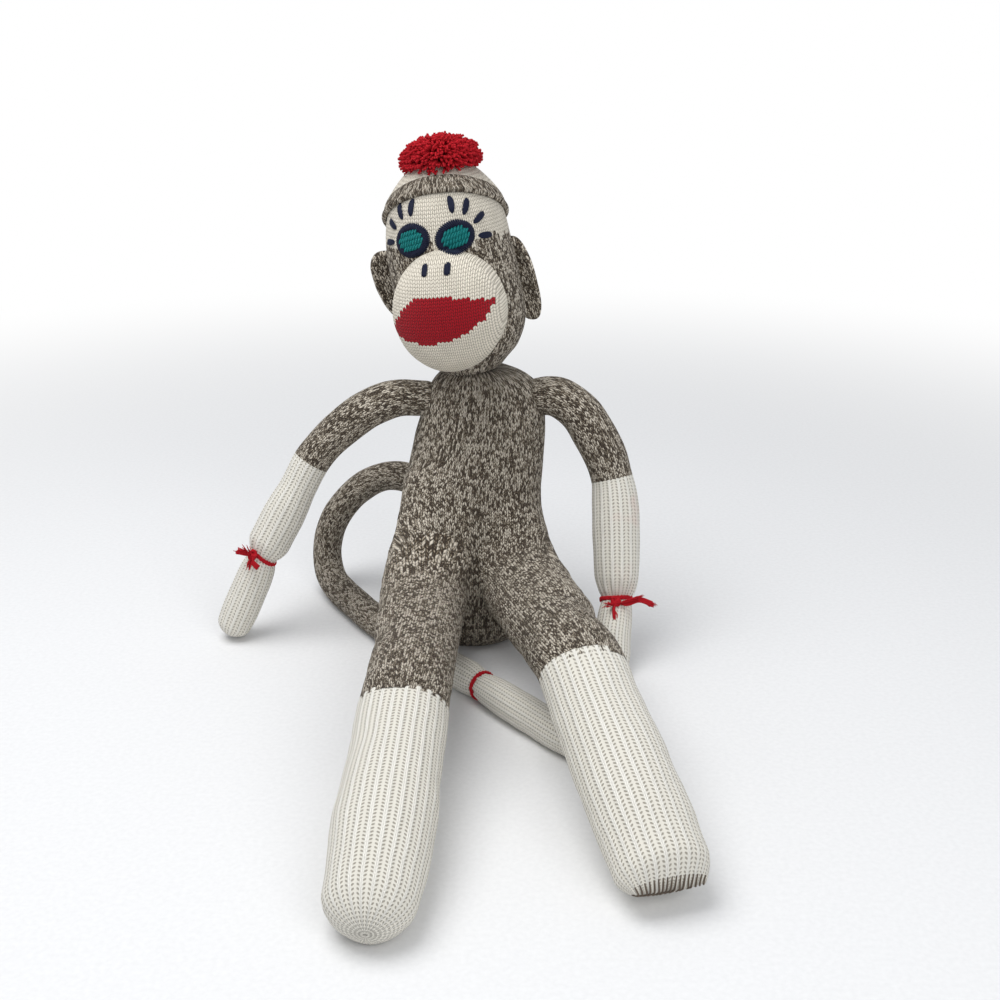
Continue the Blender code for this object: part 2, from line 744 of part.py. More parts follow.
def build_ear(side, sign):
    """A flat stuffed ear, sewn on along an upright seam that it flaps about."""
    edge = sign * HEAD_WIDTH / 2 + HEAD_SIDE_SET * EAR_SIDE_SHARE
    seam = HEAD_FRAME @ Vector((edge, HEAD_BACK_SET + EAR_BACK_SET, EAR_LEVEL))
    axis = (HEAD_FRAME.to_3x3() @ Vector((0, 0, 1))).normalized()
    hinge = pivot(side + "_ear_pivot", seam, NECK_NOD)
    reach = EAR_REACH[side]
    half_reach = reach / 2 / EAR_EMBED_SHARE
    centre = Vector((edge + sign * (reach - half_reach), HEAD_BACK_SET + EAR_BACK_SET, EAR_LEVEL))
    place = HEAD_FRAME @ Matrix.Translation(centre)
    flap = oval_mesh(half_reach, EAR_DEPTH / 2, EAR_HEIGHT / 2, 12, 8, place)
    ear = add_node(side + "_ear", flap, BROWN, hinge)
    report_joint(side + "_ear", seam, axis, EAR_RANGE)
    for step in range(EAR_STEPS + 1):
        angle = EAR_RANGE[0] + (EAR_RANGE[1] - EAR_RANGE[0]) * step / EAR_STEPS
        mesh = head_mesh(SEAM_GAP)
        turn = Matrix.Rotation(math.radians(angle), 4, axis)
        mesh.transform(Matrix.Translation(seam) @ turn @ Matrix.Translation(-seam))
        cutter = add_cutter(f"{side}_ear_clearance_{step}", mesh)
        subdivide(cutter)
        cut(ear, cutter)


def build_eye(side, sign, clear, muzzle_clear):
    """An embroidered eye: an oval ring, its centre, and four lashes round it."""
    place, out = face_place(EYE_LEVEL, sign * EYE_BEARING)
    normal = HEAD_FRAME.to_3x3() @ out
    up = HEAD_FRAME.to_3x3() @ Vector((0, 0, 1))
    frame = frame_matrix(HEAD_FRAME @ place, normal, up)
    canted = frame @ Matrix.Rotation(math.radians(EYE_CANT), 4, "Z")
    outer = EYE_WIDTH / 2
    minor = EYE_RING_WIDTH / 2
    squash = (1, EYE_HEIGHT / EYE_WIDTH, EYE_RING_HEIGHT / EYE_RING_WIDTH)
    ring_mesh = torus_mesh(outer - minor, minor, 16, 4, canted, squash)
    oval = add_node(side + "_eye_ring", ring_mesh, NAVY, NECK_NOD)
    cut(oval, clear)
    cut(oval, muzzle_clear)
    half_x = outer - EYE_RING_WIDTH - SEAM_GAP
    half_y = half_x * EYE_HEIGHT / EYE_WIDTH
    pupil = oval_mesh(half_x, half_y, PUPIL_HEIGHT, 12, 6, canted)
    cut(add_node(side + "_eye_centre", pupil, TEAL, NECK_NOD), clear)

    for count, angle in enumerate(LASH_ANGLES, start=1):
        from_nose = math.radians(angle if sign > 0 else 180 - angle)
        across = LASH_DISTANCE * math.cos(from_nose)
        rise = LASH_DISTANCE * math.sin(from_nose)
        bearing = sign * EYE_BEARING + math.degrees(across / (HEAD_WIDTH / 2))
        spot, spot_out = face_place(EYE_LEVEL + rise, bearing)
        spot_frame = frame_matrix(HEAD_FRAME @ spot, HEAD_FRAME.to_3x3() @ spot_out, up)
        spot_frame = spot_frame @ Matrix.Rotation(from_nose, 4, "Z")
        lash = oval_mesh(LASH_LENGTH / 2, LASH_WIDTH / 2, LASH_HEIGHT, 6, 4, spot_frame)
        cut(add_node(f"{side}_lash_{count}", lash, NAVY, NECK_NOD), clear)


def build_nostrils():
    """Two short stitches on the muzzle, and the cutter that keeps them and the eyes off it."""
    clear = add_cutter("muzzle_clearance", muzzle_mesh(-SEAM_GAP))
    subdivide(clear)
    front = -HEAD_DEPTH / 2 + HEAD_BACK_SET
    for side, sign in SIDES:
        across = sign * NOSTRIL_SPACING / 2
        flat = 1 - (across * 2 / MUZZLE_WIDTH) ** 2 - (NOSTRIL_RISE * 2 / MUZZLE_HEIGHT) ** 2
        forward = front - MUZZLE_REACH * math.sqrt(flat)
        out = Vector((across / MUZZLE_WIDTH, -1 / 2, NOSTRIL_RISE / MUZZLE_HEIGHT))
        spot = HEAD_FRAME @ Vector((MUZZLE_SIDE_SET + across, forward, MUZZLE_LEVEL + NOSTRIL_RISE))
        frame = frame_matrix(spot, HEAD_FRAME.to_3x3() @ out, HEAD_FRAME.to_3x3() @ Vector((0, 0, 1)))
        stitch = oval_mesh(NOSTRIL_WIDTH / 2, NOSTRIL_HEIGHT / 2, NOSTRIL_DEPTH * 2, 8, 4, frame)
        cut(add_node(side + "_nostril", stitch, NAVY, NECK_NOD), clear)
    return clear


def fold_axis(direction, towards):
    """Axis about which a part turns from its own direction towards another one."""
    return direction.cross(towards).normalized()


def build_tie(name, limb, carrier, radius, back, knot_side):
    """A yarn ring round a gathered place, with a knot and two loose ends where it has them."""
    centre = limb.centre(limb.length - back)
    frame = frame_matrix(centre, limb.direction)
    mesh = torus_mesh(radius, TIE_RADIUS, 14, 5, frame)
    tie = add_node(name, mesh, RED, carrier)
    if knot_side:
        outward = (knot_side - limb.direction * knot_side.dot(limb.direction)).normalized()
        knot_place = centre + outward * (radius + TIE_KNOT_RADIUS)
        there = Matrix.Translation(knot_place)
        knot = oval_mesh(TIE_KNOT_RADIUS, TIE_KNOT_RADIUS, TIE_KNOT_RADIUS, 8, 6, there)
        cut(tie, add_cutter(name + "_knot", knot), "UNION")
        for count, lean in enumerate((-1, 1)):
            aim = (outward + limb.direction.cross(outward) * lean).normalized()
            middle = knot_place + aim * TIE_END_LENGTH / 2
            there = frame_matrix(middle, aim, limb.direction)
            end = oval_mesh(TIE_RADIUS, TIE_RADIUS, TIE_END_LENGTH / 2, 6, 6, there)
            cut(tie, add_cutter(f"{name}_end_{count}", end), "UNION")
    return tie


def build_arm(side, sign, torso_pieces):
    """Upper arm, forearm and hand, with the yarn tied round the wrist."""
    shoulder = torso_centre(SHOULDER_HEIGHT / NECK_HEIGHT)
    shoulder = Vector((shoulder.x + sign * SHOULDER_SPAN / 2, SHOULDER_BACK_SET, SHOULDER_HEIGHT))
    up = Vector((0, 0, 1))
    front = Vector((0, -1, 0))
    width = ARM_WIDTH[side]
    upper = Limb(shoulder, heading(*UPPER_ARM_HEADING[side]), UPPER_ARM_LENGTH[side], width, width,
                 UPPER_ARM_SHARES, bow=up * ARM_BOW)
    lower = Limb(upper.end, heading(*FOREARM_HEADING[side]), FOREARM_LENGTH[side], width, width,
                 FOREARM_SHARES[side], end_width=WRIST_WIDTH)
    hand = Limb(lower.end, heading(*HAND_HEADING[side]), HAND_LENGTH[side], width, width,
                HAND_SHARES, root=WRIST_WIDTH / width * ROOT_SHARE, end_shares=ROUND_TIP_SHARES)
    shoulder_pivot = pivot(side + "_shoulder_pivot", upper.start, ROOT)
    elbow_pivot = pivot(side + "_elbow_pivot", lower.start, shoulder_pivot)
    wrist_pivot = pivot(side + "_wrist_pivot", hand.start, elbow_pivot)
    upper_pieces = build_limb(side + "_upper_arm", upper, shoulder_pivot, BROWN)
    lower_pieces = build_limb(side + "_forearm", lower, elbow_pivot, CREAM)
    hand_pieces = build_limb(side + "_hand", hand, wrist_pivot, CREAM)
    elbow_axis = fold_axis(lower.direction, front)
    wrist_axis = fold_axis(hand.direction, front)
    joints = (
        (side + "_shoulder", upper, upper_pieces, torso_pieces, Vector((0, -sign, 0)), SHOULDER_RANGE),
        (side + "_elbow", lower, lower_pieces, upper_pieces, elbow_axis, ELBOW_RANGE),
        (side + "_wrist", hand, hand_pieces, lower_pieces, wrist_axis, WRIST_RANGE),
    )
    clear_joints(joints)
    rest_on_table(hand_pieces[0])
    back = WRIST_WIDTH * TIE_SET_SHARE
    build_tie(side + "_wrist_tie", lower, elbow_pivot, WRIST_WIDTH / 2 + TIE_RADIUS + SEAM_GAP * 3, back,
              front + Vector((sign, 0, 0)) / 2)
    return joints


def build_leg(side, sign, torso_pieces):
    """Thigh and foot: one tube of sock whose foot half is cream."""
    hip = torso_centre(HIP_HEIGHT / NECK_HEIGHT)
    hip = Vector((hip.x + sign * HIP_SPAN / 2, -HIP_FRONT_SET, HIP_HEIGHT))
    up = Vector((0, 0, 1))
    thigh = Limb(hip, heading(*THIGH_HEADING[side]), THIGH_LENGTH[side], LEG_WIDTH, LEG_DEPTH,
                 THIGH_SHARES, bow=up * LEG_BOW, root=LEG_ROOT_SHARE, sides=LEG_SIDES)
    tip = ROUND_TIP_SHARES if side == "right" else BLUNT_TIP_SHARES
    foot = Limb(thigh.end, heading(*FOOT_HEADING[side]), FOOT_LENGTH[side], LEG_WIDTH, LEG_DEPTH,
                FOOT_SHARES, root=LEG_ROOT_SHARE, end_shares=tip, sides=LEG_SIDES)
    hip_pivot = pivot(side + "_hip_pivot", thigh.start, ROOT)
    knee_pivot = pivot(side + "_knee_pivot", foot.start, hip_pivot)
    thigh_pieces = build_stuffed_limb(side + "_thigh", thigh, hip_pivot, BROWN)
    foot_pieces = build_stuffed_limb(side + "_foot", foot, knee_pivot, CREAM)
    hip_axis = fold_axis(thigh.direction, up)
    knee_axis = fold_axis(foot.direction, up)
    joints = (
        (side + "_hip", thigh, thigh_pieces, torso_pieces, hip_axis, HIP_RANGE[side]),
        (side + "_knee", foot, foot_pieces, thigh_pieces, knee_axis, KNEE_RANGE[side]),
    )
    hollow_out(side + "_thigh", thigh, thigh_pieces[0])
    hollow_out(side + "_foot", foot, foot_pieces[0])
    clear_joints(joints)
    rest_on_table(foot_pieces[0])
    return joints


def build_tail(torso_pieces):
    """Five parts in a line: out of the back, over and down to the table, and round under the legs."""
    up = Vector((0, 0, 1))
    root = torso_centre(TAIL_ROOT_HEIGHT / NECK_HEIGHT)
    place = Vector((root.x + TAIL_ROOT_SET[0], TAIL_ROOT_SET[1], TAIL_ROOT_HEIGHT))
    arch_bow = heading(*TAIL_ARCH_BOW_HEADING) * TAIL_ARCH_BOW
    middle_bow = heading(*TAIL_MIDDLE_BOW_HEADING) * TAIL_MIDDLE_BOW
    rows = (
        ("tail_root", TAIL_ROOT_LENGTH, TAIL_ROOT_HEADING, up * TAIL_ROOT_BOW, BROWN, -up, TAIL_ROOT_RANGE),
        ("tail_arch", TAIL_ARCH_LENGTH, TAIL_ARCH_HEADING, arch_bow, BROWN, -up, TAIL_ARCH_RANGE),
        ("tail_middle", TAIL_MIDDLE_LENGTH, TAIL_MIDDLE_HEADING, middle_bow, BROWN, -up, TAIL_MIDDLE_RANGE),
        ("tail_end", TAIL_END_LENGTH, TAIL_END_HEADING, Vector(), CREAM, -up, TAIL_END_RANGE),
        ("tail_tip", TAIL_TIP_LENGTH, TAIL_TIP_HEADING, Vector(), CREAM, up, TAIL_TIP_RANGE),
    )
    carrier = ROOT
    previous = torso_pieces
    joints = []
    made = []
    for name, length, aim, bow, look, axis, span in rows:
        last = name == "tail_tip"
        limb = Limb(place, heading(*aim), length, TAIL_WIDTH, TAIL_DEPTH, TAIL_SHARES, bow=bow,
                    root=TAIL_WAIST / TAIL_WIDTH * ROOT_SHARE if last else ROOT_SHARE,
                    end_width=TAIL_WAIST if name == "tail_end" else None,
                    end_shares=ROUND_TIP_SHARES if last else OPEN_END_SHARES, sides=TAIL_SIDES)
        carrier = pivot(name + "_pivot", place, carrier)
        pieces = build_limb(name, limb, carrier, look)
        joints.append((name, limb, pieces, previous, axis, span))
        made.append((name, limb, pieces, carrier))
        place = limb.end
        previous = pieces
    clear_joints(joints)
    for name, limb, pieces, carrier in made:
        if name != "tail_root":
            rest_on_table(pieces[0])
    name, limb, pieces, carrier = made[3]
    tie = build_tie("tail_tie", limb, carrier, TAIL_WAIST / 2 + TIE_RADIUS + SEAM_GAP * 2,
                    TAIL_WAIST * TIE_SET_SHARE, None)
    rest_on_table(tie)
    return joints


def report_joint(name, place, axis, span):
    """Print a joint's place, axis and range."""
    at = [round(value, 5) for value in place]
    about = [round(value, 5) for value in axis]
    print(f"joint {name} at {at} axis {about} range {span}")


def clear_joints(joints):
    """Cut each part's root space out of what carries it."""
    for name, limb, pieces, carriers, axis, span in joints:
        cutter = swept_hull(name + "_clearance", limb, axis, span[0], span[1])
        for piece in carriers:
            cut(piece, cutter)
        report_joint(name, limb.start, axis, span)


remove_all()
PARTS = make_collection("sock_monkey_doll")
CUTTERS = make_collection("cutters")
BROWN = material("brown_marl_sock", BROWN_MARL)
CREAM = material("cream_ribbed_sock", CREAM_KNIT)
STUFFING = material("fibre_stuffing", STUFFING_WHITE)
RED = material("red_yarn", RED_YARN)
NAVY = material("navy_floss", NAVY_FLOSS)
TEAL = material("teal_floss", TEAL_FLOSS)

NECK = Vector((NECK_OFFSET, TORSO_BACK_LEAN, NECK_HEIGHT))
HEAD_FRAME = (Matrix.Translation(NECK) @ Matrix.Rotation(math.radians(HEAD_ROLL), 4, "Y")
              @ Matrix.Rotation(math.radians(HEAD_YAW), 4, "Z"))
ROOT = pivot("torso_pivot", Vector())
NECK_TURN = pivot("neck_turn_pivot", NECK, ROOT)
NECK_NOD = pivot("neck_nod_pivot", NECK, NECK_TURN)
TABLE_MESH = box_mesh(TABLE_CUT_SIZE, TABLE_CUT_SIZE, TABLE_CUT_DEPTH, (0, 0, -TABLE_CUT_DEPTH / 2))
TABLE = add_cutter("table", TABLE_MESH)

TORSO = build_torso()
NECK_BALL, NECK_SOCKET = build_neck(TORSO)
HEAD_CLEAR = build_head(NECK_SOCKET)
build_cap(HEAD_CLEAR)
MUZZLE_CLEAR = build_nostrils()
for which, way in SIDES:
    build_ear(which, way)
    build_eye(which, way, HEAD_CLEAR, MUZZLE_CLEAR)
    build_arm(which, way, TORSO)
    build_leg(which, way, TORSO)
build_tail(TORSO)
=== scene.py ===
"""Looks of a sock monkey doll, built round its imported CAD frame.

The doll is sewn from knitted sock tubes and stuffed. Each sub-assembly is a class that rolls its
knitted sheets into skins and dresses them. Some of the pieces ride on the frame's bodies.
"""

import json
import logging
import math
from dataclasses import dataclass
from enum import Enum

import bmesh
import bpy
import numpy as np
from mathutils import Matrix, Vector
from mathutils.bvhtree import BVHTree


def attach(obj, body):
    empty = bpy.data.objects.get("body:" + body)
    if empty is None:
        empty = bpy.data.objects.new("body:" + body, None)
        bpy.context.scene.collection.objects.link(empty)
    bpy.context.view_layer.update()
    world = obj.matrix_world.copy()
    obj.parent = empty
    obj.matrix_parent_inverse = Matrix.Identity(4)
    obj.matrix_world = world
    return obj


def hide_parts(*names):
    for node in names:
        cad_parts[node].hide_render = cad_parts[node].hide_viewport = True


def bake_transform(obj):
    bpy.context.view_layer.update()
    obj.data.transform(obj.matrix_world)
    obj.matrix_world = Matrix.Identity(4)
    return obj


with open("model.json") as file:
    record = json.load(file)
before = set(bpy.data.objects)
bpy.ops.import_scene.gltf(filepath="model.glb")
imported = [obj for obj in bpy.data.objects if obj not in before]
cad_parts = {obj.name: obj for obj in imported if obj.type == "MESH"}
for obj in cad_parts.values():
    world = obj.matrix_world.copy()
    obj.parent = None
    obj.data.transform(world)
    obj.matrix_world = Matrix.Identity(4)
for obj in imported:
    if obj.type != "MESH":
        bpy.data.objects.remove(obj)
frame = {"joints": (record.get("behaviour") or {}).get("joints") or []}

LOG = logging.getLogger("doll")
MM = 0.001

# Width and height of one stitch in metres: brown stockinette, cream rib (height only), fine cream knit
WALE = 0.0028
COURSE = 0.0021
RIB_COURSE = 0.0020
FINE_WALE = 0.0023
FINE_COURSE = 0.0018

TABLE_CLEARANCE = 0.0002
MERGE_DISTANCE = 0.00002
NO_LENGTH = 1e-12

# Share of a chord's bend taken out by one pass of easing, and a direction that no limb runs along
EASING = 0.4
NEARLY_UP = (0.02, 0.03, 1.0)

# Rows of faces that close a sock tube at its start and at its tip
START_ROWS = 7
TIP_ROWS = 11

# How boldly one yarn arm rounds out across and along
ARM_ROUNDNESS = 0.6
COURSE_ROUNDNESS = 0.45

JOINTS = {joint["name"]: Vector(joint["pos_m"]) for joint in frame["joints"]}
NECK = JOINTS["neck_turn"]
HEAD_TILT = math.radians(-6)
HEAD_TURN = math.radians(-10)
HEAD_FRAME = (
    Matrix.Translation(NECK) @ Matrix.Rotation(HEAD_TILT, 4, "Y") @ Matrix.Rotation(HEAD_TURN, 4, "Z")
)


class Side(Enum):
    """A side of the doll, as the doll itself has it."""

    RIGHT = "right"
    LEFT = "left"

    @property
    def sign(self) -> int:
        """Direction of this side along X."""
        return -1 if self is Side.RIGHT else 1


class Tip(Enum):
    """How a sock tube is closed at its far end."""

    ROUND = "round"
    SEAMED = "seamed"


class Slot(Enum):
    """Material slots of the record."""

    MARL = "brown_marl_sock"
    CREAM = "cream_ribbed_sock"
    RED = "red_yarn"
    NAVY = "navy_floss"
    TEAL = "teal_floss"


def cubic(
    t: np.ndarray, start: np.ndarray, end: np.ndarray, leave: np.ndarray, arrive: np.ndarray
) -> np.ndarray:
    """A smooth way from start to end, with the given rates of change where it leaves and arrives."""
    return (
        start * (1 + 2 * t) * (1 - t) ** 2
        + leave * t * (1 - t) ** 2
        + end * t * t * (3 - 2 * t)
        + arrive * t * t * (t - 1)
    )


def curve_through(at: np.ndarray, places: list[float], values: list[float]) -> np.ndarray:
    """Smooth values between those of a table, with no overshoot.

    Args:
        at: where values are wanted.
        places: rising places of the table.
        values: the table's value at each place.

    Returns:
        One value for each wanted place.
    """
    x = np.asarray(places, float)
    y = np.asarray(values, float)
    gap = np.diff(x)
    slope = np.diff(y) / gap
    rise = np.concatenate(([slope[0]], np.zeros(len(x) - 2), [slope[-1]]))
    for k in range(1, len(x) - 1):
        if slope[k - 1] * slope[k] > 0:
            before = 2 * gap[k] + gap[k - 1]
            after = gap[k] + 2 * gap[k - 1]
            rise[k] = (before + after) / (before / slope[k - 1] + after / slope[k])
    at = np.clip(at, x[0], x[-1])
    k = np.clip(np.searchsorted(x, at) - 1, 0, len(gap) - 1)
    t = (at - x[k]) / gap[k]
    return cubic(t, y[k], y[k + 1], rise[k] * gap[k], rise[k + 1] * gap[k])


def ring_column(rings: tuple, share: np.ndarray, number: int) -> np.ndarray:
    """One column of a table of rings, smooth over the share of the height in its first column."""
    return curve_through(share, [ring[0] for ring in rings], [ring[number] for ring in rings])


def ease(values: np.ndarray, low: float, high: float) -> np.ndarray:
    """0 below low, 1 above high and a soft step between them."""
    t = np.clip((values - low) / (high - low), 0, 1)
    return t * t * (3 - 2 * t)


def unit(vectors: np.ndarray) -> np.ndarray:
    """The vectors at length one."""
    return vectors / np.maximum(np.linalg.norm(vectors, axis=-1, keepdims=True), NO_LENGTH)


def row(*values: float) -> np.ndarray:
    """One point or vector as an array."""
    return np.array(values, float)


class Line:
    """A smooth curve through points, measured along its length."""

    def __init__(self, points: np.ndarray, samples: int = 400, soften: int = 0) -> None:
        """Fits the curve.

        Args:
            points: one row for each point.
            samples: how many short chords stand for the curve.
            soften: how often its bends are eased.
        """
        points = np.asarray(points, float)
        stations = np.concatenate(([0], np.cumsum(np.linalg.norm(np.diff(points, axis=0), axis=1))))
        pull = np.gradient(points, stations, axis=0)
        at = np.linspace(0, stations[-1], samples)
        k = np.clip(np.searchsorted(stations, at, side="right") - 1, 0, len(points) - 2)
        gap = (stations[k + 1] - stations[k])[:, None]
        t = (at - stations[k])[:, None] / gap
        self.places = cubic(t, points[k], points[k + 1], pull[k] * gap, pull[k + 1] * gap)
        for _ in range(soften):
            self.places[1:-1] += (self.places[:-2] + self.places[2:] - 2 * self.places[1:-1]) * EASING
        self.along = np.concatenate(([0], np.cumsum(np.linalg.norm(np.diff(self.places, axis=0), axis=1))))
        self.length = float(self.along[-1])
        self.ahead = unit(np.gradient(self.places, self.along, axis=0))
        side = unit(np.cross(self.ahead[0], row(*NEARLY_UP)))
        sides = []
        for ahead in self.ahead:
            side = unit(side - ahead * side.dot(ahead))
            sides.append(side)
        self.side = np.array(sides)

    def at(self, distance: np.ndarray) -> tuple[np.ndarray, np.ndarray]:
        """Places and directions on the curve, which runs on straight past its ends."""
        held = np.clip(distance, 0, self.length)
        place = np.stack([np.interp(held, self.along, self.places[:, i]) for i in range(3)], 1)
        ahead = unit(np.stack([np.interp(held, self.along, self.ahead[:, i]) for i in range(3)], 1))
        return place + ahead * (distance - held)[:, None], ahead

    def cross_axes(self, distance: np.ndarray, ahead: np.ndarray) -> tuple[np.ndarray, np.ndarray]:
        """Sideways and upward directions at each distance, which turn with the curve but never twist."""
        held = np.clip(distance, 0, self.length)
        side = np.stack([np.interp(held, self.along, self.side[:, i]) for i in range(3)], 1)
        side = unit(side - ahead * (side * ahead).sum(1)[:, None])
        return side, np.cross(side, ahead)

    def locate(self, point: np.ndarray) -> float:
        """Distance along the curve of the place nearest to a point."""
        nearest = ((point - self.places) ** 2).sum(1).argmin()
        found = self.along[nearest : nearest + 1]
        place, ahead = self.at(found)
        return float((found + ((point - place) * ahead).sum(1))[0])


def only(piece: bpy.types.Object) -> None:
    """Makes one object the selected and active one."""
    if bpy.context.object and bpy.context.object.mode != "OBJECT":
        bpy.ops.object.mode_set(mode="OBJECT")
    bpy.ops.object.select_all(action="DESELECT")
    piece.select_set(True)
    bpy.context.view_layer.objects.active = piece


def apply_modifier(piece: bpy.types.Object, kind: str, **settings: object) -> None:
    """Adds a modifier with its settings and applies it."""
    only(piece)
    modifier = piece.modifiers.new(kind.lower(), kind)
    for key, value in settings.items():
        setattr(modifier, key, value)
    bpy.ops.object.modifier_apply(modifier=modifier.name)


def subdivide(piece: bpy.types.Object) -> None:
    """Makes a skin's faces four times as many, and rounds it."""
    apply_modifier(piece, "SUBSURF", levels=1, render_levels=1)


def cut_away(piece: bpy.types.Object, *cuts: tuple) -> None:
    """Cuts away what lies beyond each plane.

    Args:
        piece: the skin.
        *cuts: a point of each plane and the direction it faces.
    """
    only(piece)
    bpy.ops.object.mode_set(mode="EDIT")
    for place, normal in cuts:
        bpy.ops.mesh.select_all(action="SELECT")
        bpy.ops.mesh.bisect(plane_co=place, plane_no=normal, clear_outer=True)
    bpy.ops.object.mode_set(mode="OBJECT")


def copied(whole: bpy.types.Object, name: str) -> bpy.types.Object:
    """A copy of a piece, with its own mesh and name."""
    piece = whole.copy()
    piece.data = whole.data.copy()
    piece.name = name
    piece.data.name = name
    bpy.context.scene.collection.objects.link(piece)
    return piece


def corner_vertices(mesh: bpy.types.Mesh) -> np.ndarray:
    """Number of the vertex at each face corner."""
    corner = np.empty(len(mesh.loops), np.int32)
    mesh.loops.foreach_get("vertex_index", corner)
    return corner


def write_counts(layer: bpy.types.MeshUVLoopLayer, counts: np.ndarray) -> None:
    """Writes stitch counts, one row for each face corner, as UV."""
    layer.data.foreach_set("uv", counts.astype(np.float32).ravel())


def vertex_places(piece: bpy.types.Object) -> np.ndarray:
    """The mesh's vertices, one row each."""
    flat = np.empty(len(piece.data.vertices) * 3, np.float32)
    piece.data.vertices.foreach_get("co", flat)
    return flat.reshape(-1, 3).astype(float)


def move_vertices(piece: bpy.types.Object, places: np.ndarray) -> None:
    """Puts the mesh's vertices at new places."""
    piece.data.vertices.foreach_set("co", places.astype(np.float32).ravel())
    piece.data.update()


def face_out(piece: bpy.types.Object) -> None:
    """Turns the faces of a closed or nearly closed form outwards."""
    only(piece)
    bpy.ops.object.mode_set(mode="EDIT")
    bpy.ops.mesh.select_all(action="SELECT")
    bpy.ops.mesh.normals_make_consistent(inside=False)
    bpy.ops.object.mode_set(mode="OBJECT")


def rolled_sheet(name: str, around: int, rows: int, place, stitches) -> bpy.types.Object:
    """A flat knitted sheet rolled into a form, with its side edges sewn together.

    Args:
        name: name of the new piece.
        around: faces round the form.
        rows: faces along the form.
        place: gives a point for each turn share and row share.
        stitches: gives stitch counts, across and along, for each turn share and row share.

    Returns:
        The piece, with its stitch counts as its UV map and its row number on each face.
    """
    bpy.ops.object.select_all(action="DESELECT")
    bpy.ops.mesh.primitive_grid_add(x_subdivisions=around, y_subdivisions=rows, size=1)
    piece = bpy.context.object
    piece.name = name
    piece.data.name = name
    flat = vertex_places(piece)
    turn = flat[:, 0] + 0.5
    along = flat[:, 1] + 0.5
    corner = corner_vertices(piece.data)
    write_counts(piece.data.uv_layers[0], np.stack([count[corner] for count in stitches(turn, along)], 1))
    middles = np.empty(len(piece.data.polygons) * 3, np.float32)
    piece.data.polygons.foreach_get("center", middles)
    band = np.floor((middles.reshape(-1, 3)[:, 1] + 0.5) * rows).astype(np.int32)
    piece.data.attributes.new("row", "INT", "FACE").data.foreach_set("value", band)
    move_vertices(piece, place(turn, along))
    only(piece)
    bpy.ops.object.mode_set(mode="EDIT")
    bpy.ops.mesh.select_all(action="SELECT")
    bpy.ops.mesh.remove_doubles(threshold=MERGE_DISTANCE)
    bpy.ops.object.mode_set(mode="OBJECT")
    face_out(piece)
    bpy.ops.object.shade_smooth()
    return piece


def lumps(piece: bpy.types.Object, size: float, strength: float) -> None:
    """Gives a stuffed skin the slight unevenness of hand stuffing."""
    texture = bpy.data.textures.new("stuffing_lumps", "CLOUDS")
    texture.noise_scale = size
    texture.noise_depth = 1
    apply_modifier(
        piece, "DISPLACE", texture=texture, strength=strength, mid_level=0.5, texture_coords="LOCAL"
    )


def flatten_on_table(piece: bpy.types.Object) -> None:
    """Presses the parts of a skin that would go through the table flat against it."""
    places = vertex_places(piece)
    places[:, 2] = np.maximum(places[:, 2], TABLE_CLEARANCE)
    move_vertices(piece, places)


def keep_rows(whole: bpy.types.Object, name: str, low: int, high: int) -> bpy.types.Object:
    """A copy of the rows of a skin from low up to, not with, high."""
    piece = copied(whole, name)
    shape = bmesh.new()
    shape.from_mesh(piece.data)
    layer = shape.faces.layers.int["row"]
    gone = [face for face in shape.faces if not low <= face[layer] < high]
    bmesh.ops.delete(shape, geom=gone, context="FACES")
    shape.to_mesh(piece.data)
    shape.free()
    return piece


def surface_of(pieces: list[bpy.types.Object]) -> BVHTree:
    """One search tree over the pieces' faces."""
    places: list[Vector] = []
    faces: list[list[int]] = []
    for piece in pieces:
        first = len(places)
        places.extend(vertex.co.copy() for vertex in piece.data.vertices)
        faces.extend([first + index for index in face.vertices] for face in piece.data.polygons)
    return BVHTree.FromPolygons(places, faces)


def dress(piece: bpy.types.Object, material: bpy.types.Material) -> None:
    """Gives a piece its material and logs how many faces it has."""
    piece.data.materials.clear()
    piece.data.materials.append(material)
    LOG.info("%s: %d faces", piece.name, len(piece.data.polygons))


def linear(colour: str) -> tuple[float, float, float, float]:
    """A hex sRGB colour as linear values."""
    parts = [int(colour[i : i + 2], 16) / 255 for i in (1, 3, 5)]
    turned = [p / 12.92 if p <= 0.04045 else ((p + 0.055) / 1.055) ** 2.4 for p in parts]
    return (turned[0], turned[1], turned[2], 1.0)


